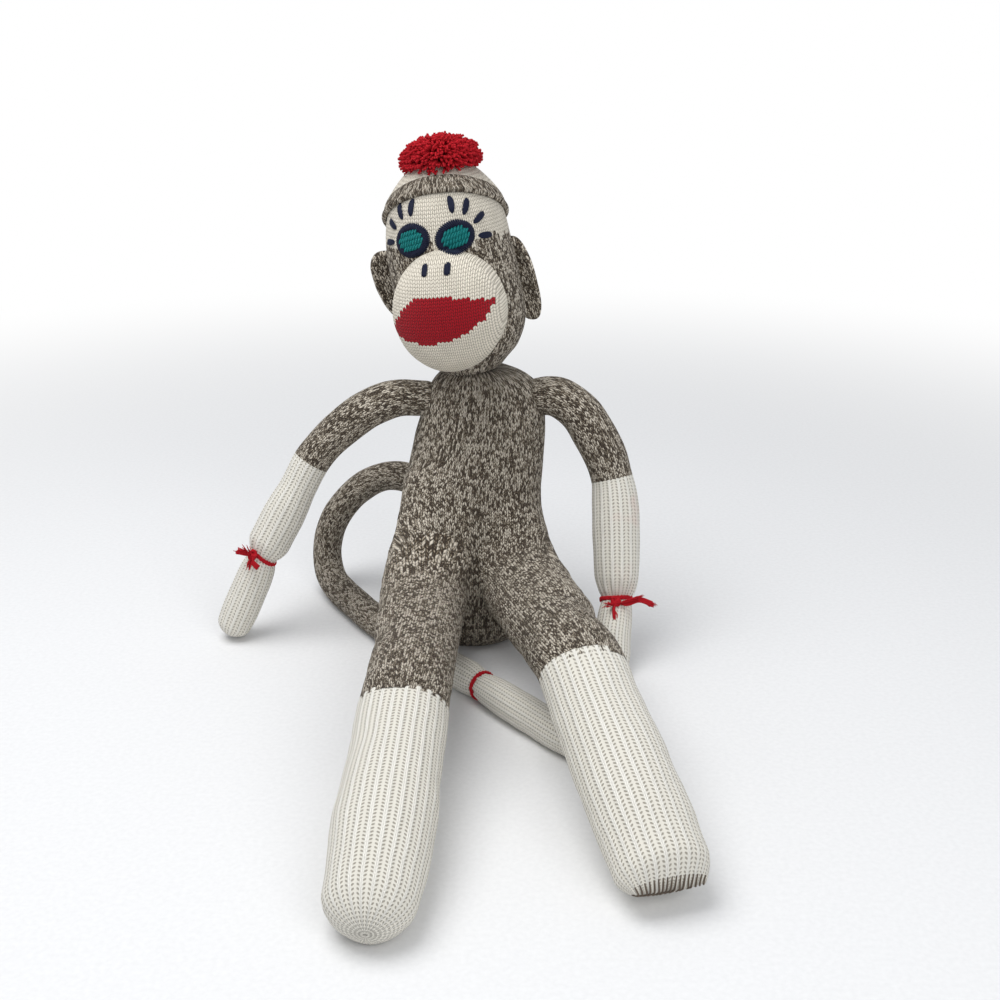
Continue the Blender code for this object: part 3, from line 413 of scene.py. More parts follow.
class Recipe:
    """The node tree of one material while it is put together."""

    def __init__(self, name: str) -> None:
        """Starts an empty material."""
        self.material = bpy.data.materials.new(name)
        self.material.use_nodes = True
        self.tree = self.material.node_tree
        self.tree.nodes.clear()

    def add(self, kind: str, inputs: dict | None = None, output: int | str = 0, **settings: object):
        """Adds a node with its settings and links.

        A colour "Mix" takes its share at input 0 and its colours at 6 and 7, and gives the mix at output 2.

        Args:
            kind: node type, without its common first part.
            inputs: number, colour or socket for each input, by name or place.
            output: which of its outputs is wanted.
            **settings: options of the node itself.

        Returns:
            The wanted output socket, or the node where it has none.
        """
        node = self.tree.nodes.new("ShaderNode" + kind)
        for key, value in settings.items():
            setattr(node, key, value)
        for key, value in (inputs or {}).items():
            if isinstance(value, bpy.types.NodeSocket):
                self.tree.links.new(value, node.inputs[key])
            else:
                node.inputs[key].default_value = value
        return node.outputs[output] if node.outputs else node

    def close(self, colour, height, depth: float, roughness: float, sheen: float, tint: str):
        """Ends the material in a fabric shader.

        Args:
            colour: socket of the base colour.
            height: socket of the relief, from 0 to 1.
            depth: real height of the relief in metres.
            roughness: roughness of the yarn.
            sheen: how much the loose fibres catch light.
            tint: colour of that light.

        Returns:
            The finished material.
        """
        relief = self.add("Bump", {"Strength": 1.0, "Distance": depth, "Height": height})
        fabric = self.add(
            "BsdfPrincipled",
            {
                "Base Color": colour,
                "Roughness": roughness,
                "IOR": 1.46,
                "Sheen Weight": sheen,
                "Sheen Roughness": 0.6,
                "Sheen Tint": linear(tint),
                "Specular IOR Level": 0.25,
                "Normal": relief,
            },
        )
        self.add("OutputMaterial", {"Surface": fabric})
        return self.material


@dataclass(frozen=True)
class Stitches:
    """Sockets that describe a knitted surface at one point."""

    height: bpy.types.NodeSocket
    cell: bpy.types.NodeSocket
    leg: bpy.types.NodeSocket
    along: bpy.types.NodeSocket


def stockinette(recipe: Recipe, across, along, lean: float) -> Stitches:
    """The V stitches of stockinette knit.

    Args:
        recipe: the material they go into.
        across: socket that counts stitches across.
        along: socket that counts stitches along.
        lean: how far a V's arms rise, in stitches.

    Returns:
        Their relief and which yarn arm each point lies in.
    """
    in_wale = recipe.add("Math", {0: across}, operation="FRACT")
    from_middle = recipe.add("Math", {0: in_wale, 1: 0.5}, operation="SUBTRACT")
    spread = recipe.add("Math", {0: from_middle}, operation="ABSOLUTE")
    shifted = recipe.add("Math", {0: spread, 1: 2 * lean, 2: along}, operation="MULTIPLY_ADD")
    arms = recipe.add("Math", {0: across, 1: 2.0}, operation="MULTIPLY")
    in_arm = recipe.add("Math", {0: arms}, operation="FRACT")
    in_course = recipe.add("Math", {0: shifted}, operation="FRACT")
    wide = recipe.add("Math", {0: in_arm, 1: math.pi}, operation="MULTIPLY")
    long = recipe.add("Math", {0: in_course, 1: math.pi}, operation="MULTIPLY")
    wide_round = recipe.add("Math", {0: wide}, operation="SINE")
    long_round = recipe.add("Math", {0: long}, operation="SINE")
    full_wide = recipe.add("Math", {0: wide_round, 1: ARM_ROUNDNESS}, operation="POWER")
    full_long = recipe.add("Math", {0: long_round, 1: COURSE_ROUNDNESS}, operation="POWER")
    height = recipe.add("Math", {0: full_wide, 1: full_long}, operation="MULTIPLY")
    arm_number = recipe.add("Math", {0: arms}, operation="FLOOR")
    course_number = recipe.add("Math", {0: shifted}, operation="FLOOR")
    cell = recipe.add("CombineXYZ", {0: arm_number, 1: course_number})
    return Stitches(height, cell, arms, shifted)


def marl_colour(recipe: Recipe, stitches: Stitches, dark: str, middle: str, light: str):
    """Colour of a yarn twisted from a dark and a light strand, in short dashes along each arm."""
    speck = recipe.add("TexWhiteNoise", {"Vector": stitches.cell}, noise_dimensions="2D")
    place = recipe.add("CombineXYZ", {0: stitches.leg, 1: stitches.along})
    dashes = recipe.add(
        "TexNoise", {"Vector": place, "Scale": 1.9, "Detail": 1.0, "Roughness": 0.6},
        noise_dimensions="2D",
    )
    faint = recipe.add("Math", {0: dashes, 1: 0.9}, operation="MULTIPLY")
    both = recipe.add("Math", {0: speck, 1: 0.45, 2: faint}, operation="MULTIPLY_ADD")
    ramp = recipe.add("ValToRGB", {"Fac": both})
    stops = ramp.node.color_ramp.elements
    stops[0].position, stops[0].color = 0.55, linear(dark)
    stops[1].position, stops[1].color = 0.82, linear(light)
    between = stops.new(0.66)
    between.color = linear(middle)
    return ramp


def shaded(recipe: Recipe, colour, height, low: str, share: float):
    """The colour darkened by painted shade in the gaps between the yarns."""
    depth = recipe.add(
        "MapRange", {"Value": height, "From Min": 0.0, "From Max": 0.75, "To Min": share, "To Max": 0.0}
    )
    return recipe.add("Mix", {0: depth, 6: colour, 7: linear(low)}, 2, data_type="RGBA")


@dataclass(frozen=True)
class MarlKnit:
    """Plain knit of brown and cream twisted cotton yarn: a dark ground with short light dashes."""

    name: str = "marl_stockinette_cotton"
    dark: str = "#43382E"
    middle: str = "#80735F"
    light: str = "#D8CEBE"
    # gap: painted shade for the recesses between the yarns, not a yarn colour
    gap: str = "#1C1712"
    relief: float = 0.0008

    def build(self) -> bpy.types.Material:
        """Makes the material."""
        recipe = Recipe(self.name)
        split = recipe.add("SeparateXYZ", {0: recipe.add("TexCoord", output="UV")})
        stitches = stockinette(recipe, split, split.node.outputs[1], 0.7)
        colour = marl_colour(recipe, stitches, self.dark, self.middle, self.light)
        # painted shade: the marl is darkened in the gaps between the yarns
        colour = shaded(recipe, colour, stitches.height, self.gap, 0.85)
        return recipe.close(colour, stitches.height, self.relief, 0.92, 0.15, "#D8CFC2")


@dataclass(frozen=True)
class RibKnit:
    """Ribbed knit of cream cotton: raised ridges of V stitches with rows of small holes between."""

    name: str = "ribbed_cream_cotton"
    # ridge is the cream yarn; the groove colour is the same cream darkened as painted shade between the ribs
    ridge: str = "#F3F0E7"
    groove_shade: str = "#E9E5DA"
    # hole: painted shade seen in the eyelet holes, also the shade colour of the gaps between yarns
    hole: str = "#827B6C"
    stain: str = "#D9A7A0"
    stained: bool = False
    relief: float = 0.0006

    def build(self) -> bpy.types.Material:
        """Makes the material."""
        recipe = Recipe(self.name)
        split = recipe.add("SeparateXYZ", {0: recipe.add("TexCoord", output="UV")})
        along = split.node.outputs[1]
        in_rib = recipe.add("Math", {0: split}, operation="FRACT")
        middle = recipe.add("Math", {0: in_rib, 1: 0.5}, operation="SUBTRACT")
        apart = recipe.add("Math", {0: middle}, operation="ABSOLUTE")
        on_ridge = recipe.add(
            "MapRange",
            {"Value": apart, "From Min": 0.11, "From Max": 0.19, "To Min": 1.0, "To Max": 0.0},
            interpolation_type="SMOOTHSTEP",
        )
        ridge_place = recipe.add("Math", {0: middle, 1: 3.2, 2: 0.5}, operation="MULTIPLY_ADD")
        stitches = stockinette(recipe, ridge_place, along, 0.6)
        ridge_height = recipe.add("Math", {0: stitches.height, 1: on_ridge}, operation="MULTIPLY")

        slanted = recipe.add("Math", {0: apart, 1: 1.6, 2: along}, operation="MULTIPLY_ADD")
        in_course = recipe.add("Math", {0: slanted}, operation="FRACT")
        up = recipe.add("Math", {0: in_course, 1: 0.5}, operation="SUBTRACT")
        tall = recipe.add("Math", {0: up, 1: 3.4}, operation="MULTIPLY")
        beside = recipe.add("Math", {0: apart, 1: 0.27}, operation="SUBTRACT")
        wide = recipe.add("Math", {0: beside, 1: 7.5}, operation="MULTIPLY")
        tall_square = recipe.add("Math", {0: tall, 1: tall}, operation="MULTIPLY")
        from_hole = recipe.add("Math", {0: wide, 1: wide, 2: tall_square}, operation="MULTIPLY_ADD")
        hole = recipe.add(
            "MapRange",
            {"Value": from_hole, "From Min": 0.35, "From Max": 1.1, "To Min": 1.0, "To Max": 0.0},
            interpolation_type="SMOOTHSTEP",
        )
        purl = recipe.add("Math", {0: 1.0, 1: hole}, operation="SUBTRACT")
        low = recipe.add("Math", {0: purl, 1: 0.45}, operation="MULTIPLY")
        height = recipe.add("Math", {0: ridge_height, 1: 0.55, 2: low}, operation="MULTIPLY_ADD")

        wear = recipe.add("TexNoise", {"Vector": recipe.add("TexCoord", output="Object"), "Scale": 60.0})
        worn = recipe.add(
            "MapRange", {"Value": wear, "From Min": 0.35, "From Max": 0.7, "To Min": 0.0, "To Max": 0.28}
        )
        groove_shade = linear(self.groove_shade)
        # painted shade: the grooves between the ribs get a darker colour than the ridges
        base = recipe.add("Mix", {0: on_ridge, 6: groove_shade, 7: linear(self.ridge)}, 2, data_type="RGBA")
        aged = recipe.add("Mix", {0: worn, 6: base, 7: groove_shade}, 2, data_type="RGBA")
        # painted shade: the eyelet holes and the gaps between the yarns are darkened towards the hole colour
        holed = recipe.add("Math", {0: hole, 1: 0.62}, operation="MULTIPLY")
        colour = recipe.add("Mix", {0: holed, 6: aged, 7: linear(self.hole)}, 2, data_type="RGBA")
        colour = shaded(recipe, colour, height, self.hole, 0.40)
        if self.stained:
            spots = recipe.add(
                "TexNoise", {"Vector": recipe.add("TexCoord", output="Object"), "Scale": 38.0, "Detail": 2.0}
            )
            pink = recipe.add(
                "MapRange",
                {"Value": spots, "From Min": 0.60, "From Max": 0.78, "To Min": 0.0, "To Max": 0.35},
            )
            colour = recipe.add("Mix", {0: pink, 6: colour, 7: linear(self.stain)}, 2, data_type="RGBA")
        return recipe.close(colour, height, self.relief, 0.9, 0.1, "#FFFFFF")


class Zone(Enum):
    """Which part of the head a fine knit covers."""

    HEAD = "head"
    MUZZLE = "muzzle"
    CROWN = "crown"


@dataclass(frozen=True)
class FineKnit:
    """Fine cream knit of the face. The marl sock starts below the eyes, and the heel's red is the mouth."""

    zone: Zone
    cream: str = "#F0E8D8"
    worn: str = "#CFC7B6"
    shade: str = "#8F8675"
    red: str = "#A90C1D"
    # painted shade for the gaps between the red stitches of the mouth
    red_gap_shade: str = "#4A050D"
    marl: MarlKnit = MarlKnit()
    boundary_level: float = 0.0745
    boundary_jag: float = 3.0
    relief: float = 0.0006

    # The mouth in millimetres: how far to the right its lowest place lies, where its left corner starts,
    # the levels of its top and of its lowest place, and how fast its edges bend away from them
    mouth_set: float = 8.0
    mouth_corner: float = 33.0
    mouth_top: float = 55.5
    mouth_bottom: float = 28.5
    top_bend: float = -0.0045
    top_bend_beyond: float = -0.0360
    bottom_bend: float = 0.0105
    corner_bend: float = 0.21

    def build(self) -> bpy.types.Material:
        """Makes the material."""
        recipe = Recipe("fine_cream_knit_" + self.zone.value)
        split = recipe.add("SeparateXYZ", {0: recipe.add("TexCoord", output="UV")})
        across = split
        stitches = stockinette(recipe, across, split.node.outputs[1], 0.5)
        grain = recipe.add("TexNoise", {"Vector": recipe.add("TexCoord", output="Object"), "Scale": 90.0})
        aged = recipe.add(
            "MapRange", {"Value": grain, "From Min": 0.4, "From Max": 0.7, "To Min": 0.0, "To Max": 0.3}
        )
        cream, worn = linear(self.cream), linear(self.worn)
        colour = recipe.add("Mix", {0: aged, 6: cream, 7: worn}, 2, data_type="RGBA")
        colour = shaded(recipe, colour, stitches.height, self.shade, 0.85)
        if self.zone is Zone.HEAD:
            colour = self.with_marl(recipe, stitches, across, colour)
        if self.zone is Zone.MUZZLE:
            colour = self.with_mouth(recipe, stitches, across, colour)
        return recipe.close(colour, stitches.height, self.relief, 0.9, 0.04, "#FFFFFF")

    def with_marl(self, recipe: Recipe, stitches: Stitches, across, cream):
        """Brown marl below a stepped line of stitches that runs round the head."""
        wale_number = recipe.add("Math", {0: across}, operation="FLOOR")
        jag = recipe.add("TexWhiteNoise", {"W": wale_number}, noise_dimensions="1D")
        course_number = recipe.add("Math", {0: stitches.along}, operation="FLOOR")
        lowest = self.boundary_level / COURSE
        line = recipe.add("Math", {0: jag, 1: self.boundary_jag, 2: lowest}, operation="MULTIPLY_ADD")
        below = recipe.add("Math", {0: course_number, 1: line}, operation="LESS_THAN")
        marl = marl_colour(recipe, stitches, self.marl.dark, self.marl.middle, self.marl.light)
        marl = shaded(recipe, marl, stitches.height, self.marl.gap, 0.85)
        return recipe.add("Mix", {0: below, 6: cream, 7: marl}, 2, data_type="RGBA")

    def with_mouth(self, recipe: Recipe, stitches: Stitches, across, cream):
        """The red mouth: whole stitches between a flat upper curve and a deep lower one."""
        wale = recipe.add("Math", {0: across}, operation="FLOOR")
        course = recipe.add("Math", {0: stitches.along}, operation="FLOOR")
        x = recipe.add("Math", {0: wale, 1: FINE_WALE / MM, 2: FINE_WALE / MM / 2}, operation="MULTIPLY_ADD")
        z = recipe.add("Math", {0: course, 1: FINE_COURSE / MM}, operation="MULTIPLY")
        from_deepest = recipe.add("Math", {0: x, 1: self.mouth_set}, operation="ADD")
        square = recipe.add("Math", {0: from_deepest, 1: from_deepest}, operation="MULTIPLY")
        left = recipe.add("Math", {0: from_deepest, 1: 0.0}, operation="LESS_THAN")
        corner = recipe.add("Math", {0: from_deepest, 1: self.mouth_corner}, operation="SUBTRACT")
        in_corner = recipe.add("Math", {0: corner, 1: 0.0}, operation="MAXIMUM")
        sharp = recipe.add("Math", {0: in_corner, 1: in_corner}, operation="MULTIPLY")
        fall = recipe.add(
            "Math", {0: left, 1: self.top_bend_beyond, 2: self.top_bend}, operation="MULTIPLY_ADD"
        )
        top = recipe.add("Math", {0: square, 1: fall, 2: self.mouth_top}, operation="MULTIPLY_ADD")
        lower = recipe.add(
            "Math", {0: square, 1: self.bottom_bend, 2: self.mouth_bottom}, operation="MULTIPLY_ADD"
        )
        low = recipe.add("Math", {0: sharp, 1: self.corner_bend, 2: lower}, operation="MULTIPLY_ADD")
        under_top = recipe.add("Math", {0: z, 1: top}, operation="LESS_THAN")
        over_low = recipe.add("Math", {0: z, 1: low}, operation="GREATER_THAN")
        inside = recipe.add("Math", {0: under_top, 1: over_low}, operation="MULTIPLY")
        red = shaded(recipe, linear(self.red), stitches.height, self.red_gap_shade, 0.9)
        return recipe.add("Mix", {0: inside, 6: cream, 7: red}, 2, data_type="RGBA")


@dataclass(frozen=True)
class Yarn:
    """Spun yarn or embroidery floss: fine twisted fibres that run slantwise along each strand."""

    name: str
    light: str
    dark: str
    roughness: float
    sheen: float
    twist: float = 1.0
    relief: float = 0.00015

    def build(self) -> bpy.types.Material:
        """Makes the material."""
        recipe = Recipe(self.name)
        split = recipe.add("SeparateXYZ", {0: recipe.add("TexCoord", output="UV")})
        along = split.node.outputs[1]
        slant = recipe.add("Math", {0: along, 1: self.twist, 2: split}, operation="MULTIPLY_ADD")
        turns = recipe.add("Math", {0: slant, 1: 2 * math.pi * 2}, operation="MULTIPLY")
        wave = recipe.add("Math", {0: turns}, operation="SINE")
        ply = recipe.add("MapRange", {"Value": wave, "From Min": -1.0, "From Max": 1.0})
        fibres = recipe.add(
            "TexNoise", {"Vector": recipe.add("TexCoord", output="Object"), "Scale": 1800.0, "Detail": 2.0}
        )
        height = recipe.add("Math", {0: fibres, 1: 0.6, 2: ply}, operation="MULTIPLY_ADD")
        # painted shade: the colour follows the relief, darker in the low places between the plies and fibres
        relief_shading = recipe.add("MapRange", {"Value": height, "From Min": 0.2, "From Max": 1.3})
        dark, light = linear(self.dark), linear(self.light)
        colour = recipe.add("Mix", {0: relief_shading, 6: dark, 7: light}, 2, data_type="RGBA")
        return recipe.close(colour, height, self.relief, self.roughness, self.sheen, self.light)


class Finishes:
    """Every material of the doll, made once."""

    def __init__(self) -> None:
        """Builds them all."""
        self.marl = MarlKnit().build()
        self.rib = RibKnit().build()
        self.stained_rib = RibKnit(name="ribbed_cream_cotton_stained", stained=True).build()
        self.head = FineKnit(Zone.HEAD).build()
        self.muzzle = FineKnit(Zone.MUZZLE).build()
        self.crown = FineKnit(Zone.CROWN).build()
        # each yarn's light colour is the yarn on its crests, and its dark colour is painted shade between its
        # plies
        self.red = Yarn("red_wool_yarn", "#CE1F2C", "#8E0B16", 0.9, 0.35).build()
        self.navy = Yarn("navy_satin_floss", "#1D2440", "#0B0E20", 0.55, 0.1).build()
        self.teal = Yarn("teal_satin_floss", "#1B9391", "#0B5A5C", 0.5, 0.1).build()
        self.thread = Yarn("brown_cotton_thread", "#7D7063", "#4A4036", 0.9, 0.1).build()


class Strands:
    """Lengths of yarn, each bent from one modelled length, joined as one piece."""

    def __init__(self, sides: int = 6, rings: int = 5) -> None:
        """Models the length of yarn that is copied.

        Args:
            sides: faces round the yarn.
            rings: faces along it.
        """
        bpy.ops.object.select_all(action="DESELECT")
        bpy.ops.mesh.primitive_cylinder_add(
            vertices=sides, radius=1, depth=1, end_fill_type="TRIFAN", location=(0, 0, 0)
        )
        model = bpy.context.object
        bpy.ops.object.mode_set(mode="EDIT")
        for ring in range(1, rings):
            bpy.ops.mesh.select_all(action="SELECT")
            bpy.ops.mesh.bisect(plane_co=(0, 0, ring / rings - 0.5), plane_no=(0, 0, 1))
        bpy.ops.object.mode_set(mode="OBJECT")
        self.form = vertex_places(model)
        self.share = self.form[:, 2] + 0.5
        self.faces = [tuple(face.vertices) for face in model.data.polygons]
        self.corners = np.array([index for face in self.faces for index in face])
        turn = np.arctan2(self.form[:, 1], self.form[:, 0]) / (2 * math.pi)
        self.turn = turn[self.corners]
        starts = np.cumsum([0] + [len(face) for face in self.faces])
        for low, high in zip(starts, starts[1:]):
            if np.ptp(self.turn[low:high]) > 0.5:
                self.turn[low:high] += self.turn[low:high] < 0
        bpy.data.objects.remove(model)
        self.places: list[np.ndarray] = []
        self.counts: list[np.ndarray] = []

    def lay(self, points: np.ndarray, radius: float, taper: float = 0.6) -> None:
        """Bends one copy along points.

        Args:
            points: where it runs.
            radius: its radius in metres.
            taper: share of the radius left at its two ends.
        """
        line = Line(points, samples=max(16, 6 * len(points)))
        distance = self.share * line.length
        place, ahead = line.at(distance)
        side, up = line.cross_axes(distance, ahead)
        swell = radius * (taper + (1 - taper) * np.sqrt(np.clip(4 * self.share * (1 - self.share), 0, 1)))
        bent = place + side * (self.form[:, :1] * swell[:, None]) + up * (self.form[:, 1:2] * swell[:, None])
        self.places.append(bent)
        self.counts.append(np.stack([self.turn, distance[self.corners] / MM], 1))

    def join(self, name: str, material: bpy.types.Material, slot: Slot) -> bpy.types.Object:
        """Joins the lengths laid so far into one dressed piece."""
        starts = range(0, len(self.form) * len(self.places), len(self.form))
        faces = [tuple(start + index for index in face) for start in starts for face in self.faces]
        mesh = bpy.data.meshes.new(name)
        mesh.from_pydata(np.concatenate(self.places).tolist(), [], faces)
        write_counts(mesh.uv_layers.new(name="UVMap"), np.concatenate(self.counts))
        piece = bpy.data.objects.new(name, mesh)
        bpy.context.scene.collection.objects.link(piece)
        face_out(piece)
        bpy.ops.object.shade_smooth()
        dress(piece, material)
        return piece


def twisted(points: np.ndarray, radius: float, pitch: float, phase: float) -> np.ndarray:
    """Points of one ply that winds round a line of points."""
    line = Line(points, samples=200)
    distance = np.linspace(0, line.length, max(12, int(line.length / pitch * 8)))
    place, ahead = line.at(distance)
    side, up = line.cross_axes(distance, ahead)
    angle = phase + 2 * math.pi * distance / pitch
    return place + (side * np.cos(angle)[:, None] + up * np.sin(angle)[:, None]) * radius


@dataclass(frozen=True)
class Station:
    """One place of a stuffed tube: where along its parts it is, and its half sizes in millimetres."""

    part: float
    half_width: float
    half_height: float


@dataclass(frozen=True)
class Gather:
    """Pleats where a thread draws a tube together."""

    part: float
    reach: float
    depth: float
    pleats: int


@dataclass
class Tube:
    """A sock tube along a bent limb, with its parts between the limb's joints.

    Attributes:
        points: the middle line, in millimetres.
        breaks: which of the points are the joints between parts.
        stations: its thickness.
        around: faces round the tube, the same number for each rib.
        step: length of one row of faces, in metres.
        wales: marl stitches round the tube.
        ribs: cream ribs round the tube.
        ribbed_from: part share from which the tube is ribbed.
        start_reach: how far its first end reaches back, as a share of its thickness.
        tip: how its far end is closed.
        tip_reach: length of the closing, as a share of the thickness there.
        tilt: lean of the stitch rows near the first break.
        gathers: pleated places.
        rib_height: how far the ribs stand out, in metres.
        lump: unevenness of the stuffing, in metres.
        soften: how often the bends of the middle line are eased.
        seam_fullness: how late a seamed tip grows thin.
        seam_narrowing: share of its width that a seamed tip loses.
    """

    points: tuple
    breaks: tuple
    stations: tuple
    around: int
    step: float
    wales: int
    ribs: int
    ribbed_from: float
    start_reach: float = 0.8
    tip: Tip = Tip.ROUND
    tip_reach: float = 0.9
    tilt: float = 0.0
    gathers: tuple = ()
    rib_height: float = 0.0005
    lump: float = 0.0012
    soften: int = 12
    seam_fullness: float = 2.6
    seam_narrowing: float = 0.26

    def __post_init__(self) -> None:
        """Works out the middle line and every row."""
        self.line = Line(np.array(self.points, float) * MM, soften=self.soften)
        joints = [self.line.locate(row(*self.points[k]) * MM) for k in self.breaks]
        self.ends = [0.0, *joints, self.line.length]
        self.parts = np.arange(len(self.ends))
        places = np.interp([station.part for station in self.stations], self.parts, self.ends)
        wide = [station.half_width * MM for station in self.stations]
        high = [station.half_height * MM for station in self.stations]
        start, stop = places[0], places[-1]
        body = np.linspace(start, stop, max(2, round((stop - start) / self.step)) + 1)
        back = np.linspace(0, math.pi / 2, START_ROWS + 1)[:-1]
        front = np.linspace(math.pi / 2, 0, TIP_ROWS + 1)[1:]
        reach = self.start_reach * wide[0]
        close = self.tip_reach * wide[-1]
        self.distance = np.concatenate((start - reach * np.cos(back), body, stop + close * np.cos(front)))
        self.scale = np.concatenate((np.sin(back), np.ones(len(body)), np.sin(front)))
        self.front = np.concatenate((np.zeros(len(back) + len(body)), np.cos(front)))
        self.half_width = curve_through(self.distance, places, wide)
        self.half_height = curve_through(self.distance, places, high)
        self.height_scale = self.scale
        self.width_scale = self.scale
        if self.tip is Tip.SEAMED:
            thin = np.where(self.front > 0, 1 - self.front**self.seam_fullness, self.scale)
            self.height_scale = np.where(self.front >= 0.999, 0, thin)
            self.width_scale = np.where(self.front > 0, 1 - self.seam_narrowing * self.front**2, self.scale)
        run = np.hypot(np.diff(self.distance), np.diff(self.half_width * self.scale))
        self.length_along = np.concatenate(([0], np.cumsum(run)))
        self.rows = len(self.distance) - 1

    def place(self, turn: np.ndarray, along: np.ndarray) -> np.ndarray:
        """Points of the tube for turn shares and row shares."""
        k = np.rint(along * self.rows).astype(int)
        distance = self.distance[k]
        centre, ahead = self.line.at(distance)
        side, up = self.line.cross_axes(distance, ahead)
        angle = 2 * math.pi * turn
        part = np.interp(distance, self.ends, self.parts)
        ribbed = ease(part, self.ribbed_from - 0.02, self.ribbed_from + 0.06) * (1 - self.front[k] ** 4)
        ridge = np.sqrt(np.abs(np.sin(math.pi * self.ribs * turn))) - 0.65
        swell = self.rib_height * ribbed * ridge
        for gather in self.gathers:
            middle = np.interp(gather.part, self.parts, self.ends)
            near = np.exp(-(((distance - middle) / (gather.reach * MM)) ** 2))
            swell = swell + near * gather.depth * MM * (np.abs(np.sin(math.pi * gather.pleats * turn)) - 0.6)
        x = np.cos(angle) * (self.half_width[k] * self.width_scale[k] + swell * self.scale[k])
        z = np.sin(angle) * (self.half_height[k] * self.height_scale[k] + swell * self.height_scale[k])
        lean = self.tilt * (1 - np.abs(part - 1.04)).clip(0, 1)
        return centre + side * x[:, None] + up * z[:, None] + ahead * (z * lean)[:, None]

    def stitches(self, turn: np.ndarray, along: np.ndarray) -> tuple[np.ndarray, np.ndarray]:
        """Marl stitch counts for turn shares and row shares."""
        k = np.rint(along * self.rows).astype(int)
        return turn * self.wales, self.length_along[k] / COURSE

    def plain_whole(self, name: str) -> bpy.types.Object:
        """The whole tube as a closed form, for joining to another."""
        return rolled_sheet(name, 48, self.rows, self.place, self.stitches)

    def row_at(self, part: float) -> int:
        """Number of the row of faces that starts at a part share."""
        return int(np.abs(self.distance - np.interp(part, self.parts, self.ends)).argmin())

    def roll(self, name: str) -> bpy.types.Object:
        """The whole tube as one skin."""
        whole = rolled_sheet(name, self.around, self.rows, self.place, self.stitches)
        subdivide(whole)
        lumps(whole, 0.022, self.lump)
        flatten_on_table(whole)
        return whole

    def cut(
        self, whole: bpy.types.Object, name: str, low: float, high: float, cream: bool
    ) -> bpy.types.Object:
        """One part of the rolled tube, between two part shares."""
        first = 0 if low <= 0 else self.row_at(low)
        last = self.rows if high >= len(self.ends) - 1 else self.row_at(high)
        piece = keep_rows(whole, name, first, last)
        if cream:
            corners = np.empty(len(piece.data.loops) * 2, np.float32)
            piece.data.uv_layers[0].data.foreach_get("uv", corners)
            corners = corners.reshape(-1, 2)
            corners[:, 0] *= self.ribs / self.wales
            corners[:, 1] *= COURSE / RIB_COURSE
            write_counts(piece.data.uv_layers[0], corners)
        return piece


@dataclass
class Arm:
    """One arm: a marl upper arm, a ribbed cream forearm and a tied-off hand."""

    side: Side
    points: tuple
    stations: tuple
    ribs: int
    wales: int

    def build(self, finishes: Finishes) -> None:
        """Rolls the arm, cuts it at its joints and dresses the parts."""
        side = self.side.value
        tube = Tube(
            points=self.points, breaks=(4, 8), stations=self.stations, around=self.ribs * 6,
            step=0.0016, wales=self.wales, ribs=self.ribs, ribbed_from=1.0, start_reach=0.7,
            gathers=(Gather(1.93, 5.5, 1.3, 11),), tip_reach=0.85,
        )
        whole = tube.roll(f"{side}_arm_whole")
        spans = ((0, 1, "upper_arm"), (1, 2, "forearm"), (2, 3, "hand"))
        for number, (low, high, name) in enumerate(spans):
            cream = number > 0
            piece = tube.cut(whole, f"{side}_{name}_skin", low, high, cream)
            finish = finishes.rib if cream else finishes.marl
            if cream and self.side is Side.LEFT and number == 1:
                finish = finishes.stained_rib
            dress(piece, finish)
            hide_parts(f"{side}_{name}")
            _, ahead = tube.line.at(np.array([tube.ends[number] + 0.012]))
            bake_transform(piece)
        bpy.data.objects.remove(whole)


@dataclass
class Leg:
    """The ribbed cream foot of one leg. The thigh is part of the body sock."""

    side: Side
    points: tuple
    stations: tuple
    tip: Tip
    tip_reach: float
    tilt: float
    knee_set: float = 0.007
    ribs: int = 24
    wales: int = 50

    def tube(self, ribbed_from: float = 0.9) -> Tube:
        """The whole leg's tube."""
        return Tube(
            points=self.points, breaks=(4,), stations=self.stations, around=self.ribs * 6,
            step=0.0018, wales=self.wales, ribs=self.ribs, ribbed_from=ribbed_from, start_reach=0.5,
            tip=self.tip, tip_reach=self.tip_reach, tilt=self.tilt, lump=0.0018,
        )

    def build(self, finishes: Finishes) -> None:
        """Rolls the foot and dresses it."""
        side = self.side.value
        tube = self.tube()
        whole = tube.roll(f"{side}_leg_whole")
        first = 1 + (self.knee_set - 0.002) / (tube.ends[2] - tube.ends[1])
        foot = tube.cut(whole, f"{side}_foot_skin", first, 2, True)
        bpy.data.objects.remove(whole)
        dress(foot, finishes.rib)
        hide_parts(f"{side}_foot", f"{side}_foot_stuffing")
        _, ahead = tube.line.at(np.array([tube.ends[1] + 0.02]))
        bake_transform(foot)
        if self.tip is Tip.SEAMED:
            self.sew_toe(tube, finishes)

    def sew_toe(self, tube: Tube, finishes: Finishes) -> None:
        """Overcasts the toe's straight seam with brown thread."""
        _, ahead = tube.line.at(np.array([tube.line.length]))
        _, up = tube.line.cross_axes(np.array([tube.line.length]), ahead)
        lift = up[0] * 0.0005
        count, thread_radius = 17, 0.00042
        gaps = [np.abs(tube.distance - (tube.distance[-1] - reach)) for reach in (0.0021, 0.0009)]
        back = np.array([gap.argmin() for gap in gaps])
        along = np.array([*back, tube.rows, *back[::-1]]) / tube.rows
        slants = np.random.default_rng(8).normal(0.0, 0.03, count)
        thread = Strands(sides=6, rings=8)
        for share, slant in zip(np.linspace(-0.92, 0.92, count), slants):
            over = math.acos(share) / (2 * math.pi)
            under = 1 - math.acos(np.clip(share + slant, -0.95, 0.95)) / (2 * math.pi)
            stitch = tube.place(np.array([over, over, over, under, under]), along)
            tip_below = tube.place(np.array([under]), np.array([1.0]))[0]
            stitch[2] = (stitch[2] + tip_below) / 2 + ahead[0] * 0.0004
            stitch[:2] += lift
            stitch[3:] -= lift
            thread.lay(stitch, thread_radius, taper=0.6)
        seam = thread.join(f"{self.side.value}_toe_stitches", finishes.thread, Slot.MARL)
        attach(seam, f"{self.side.value}_foot")


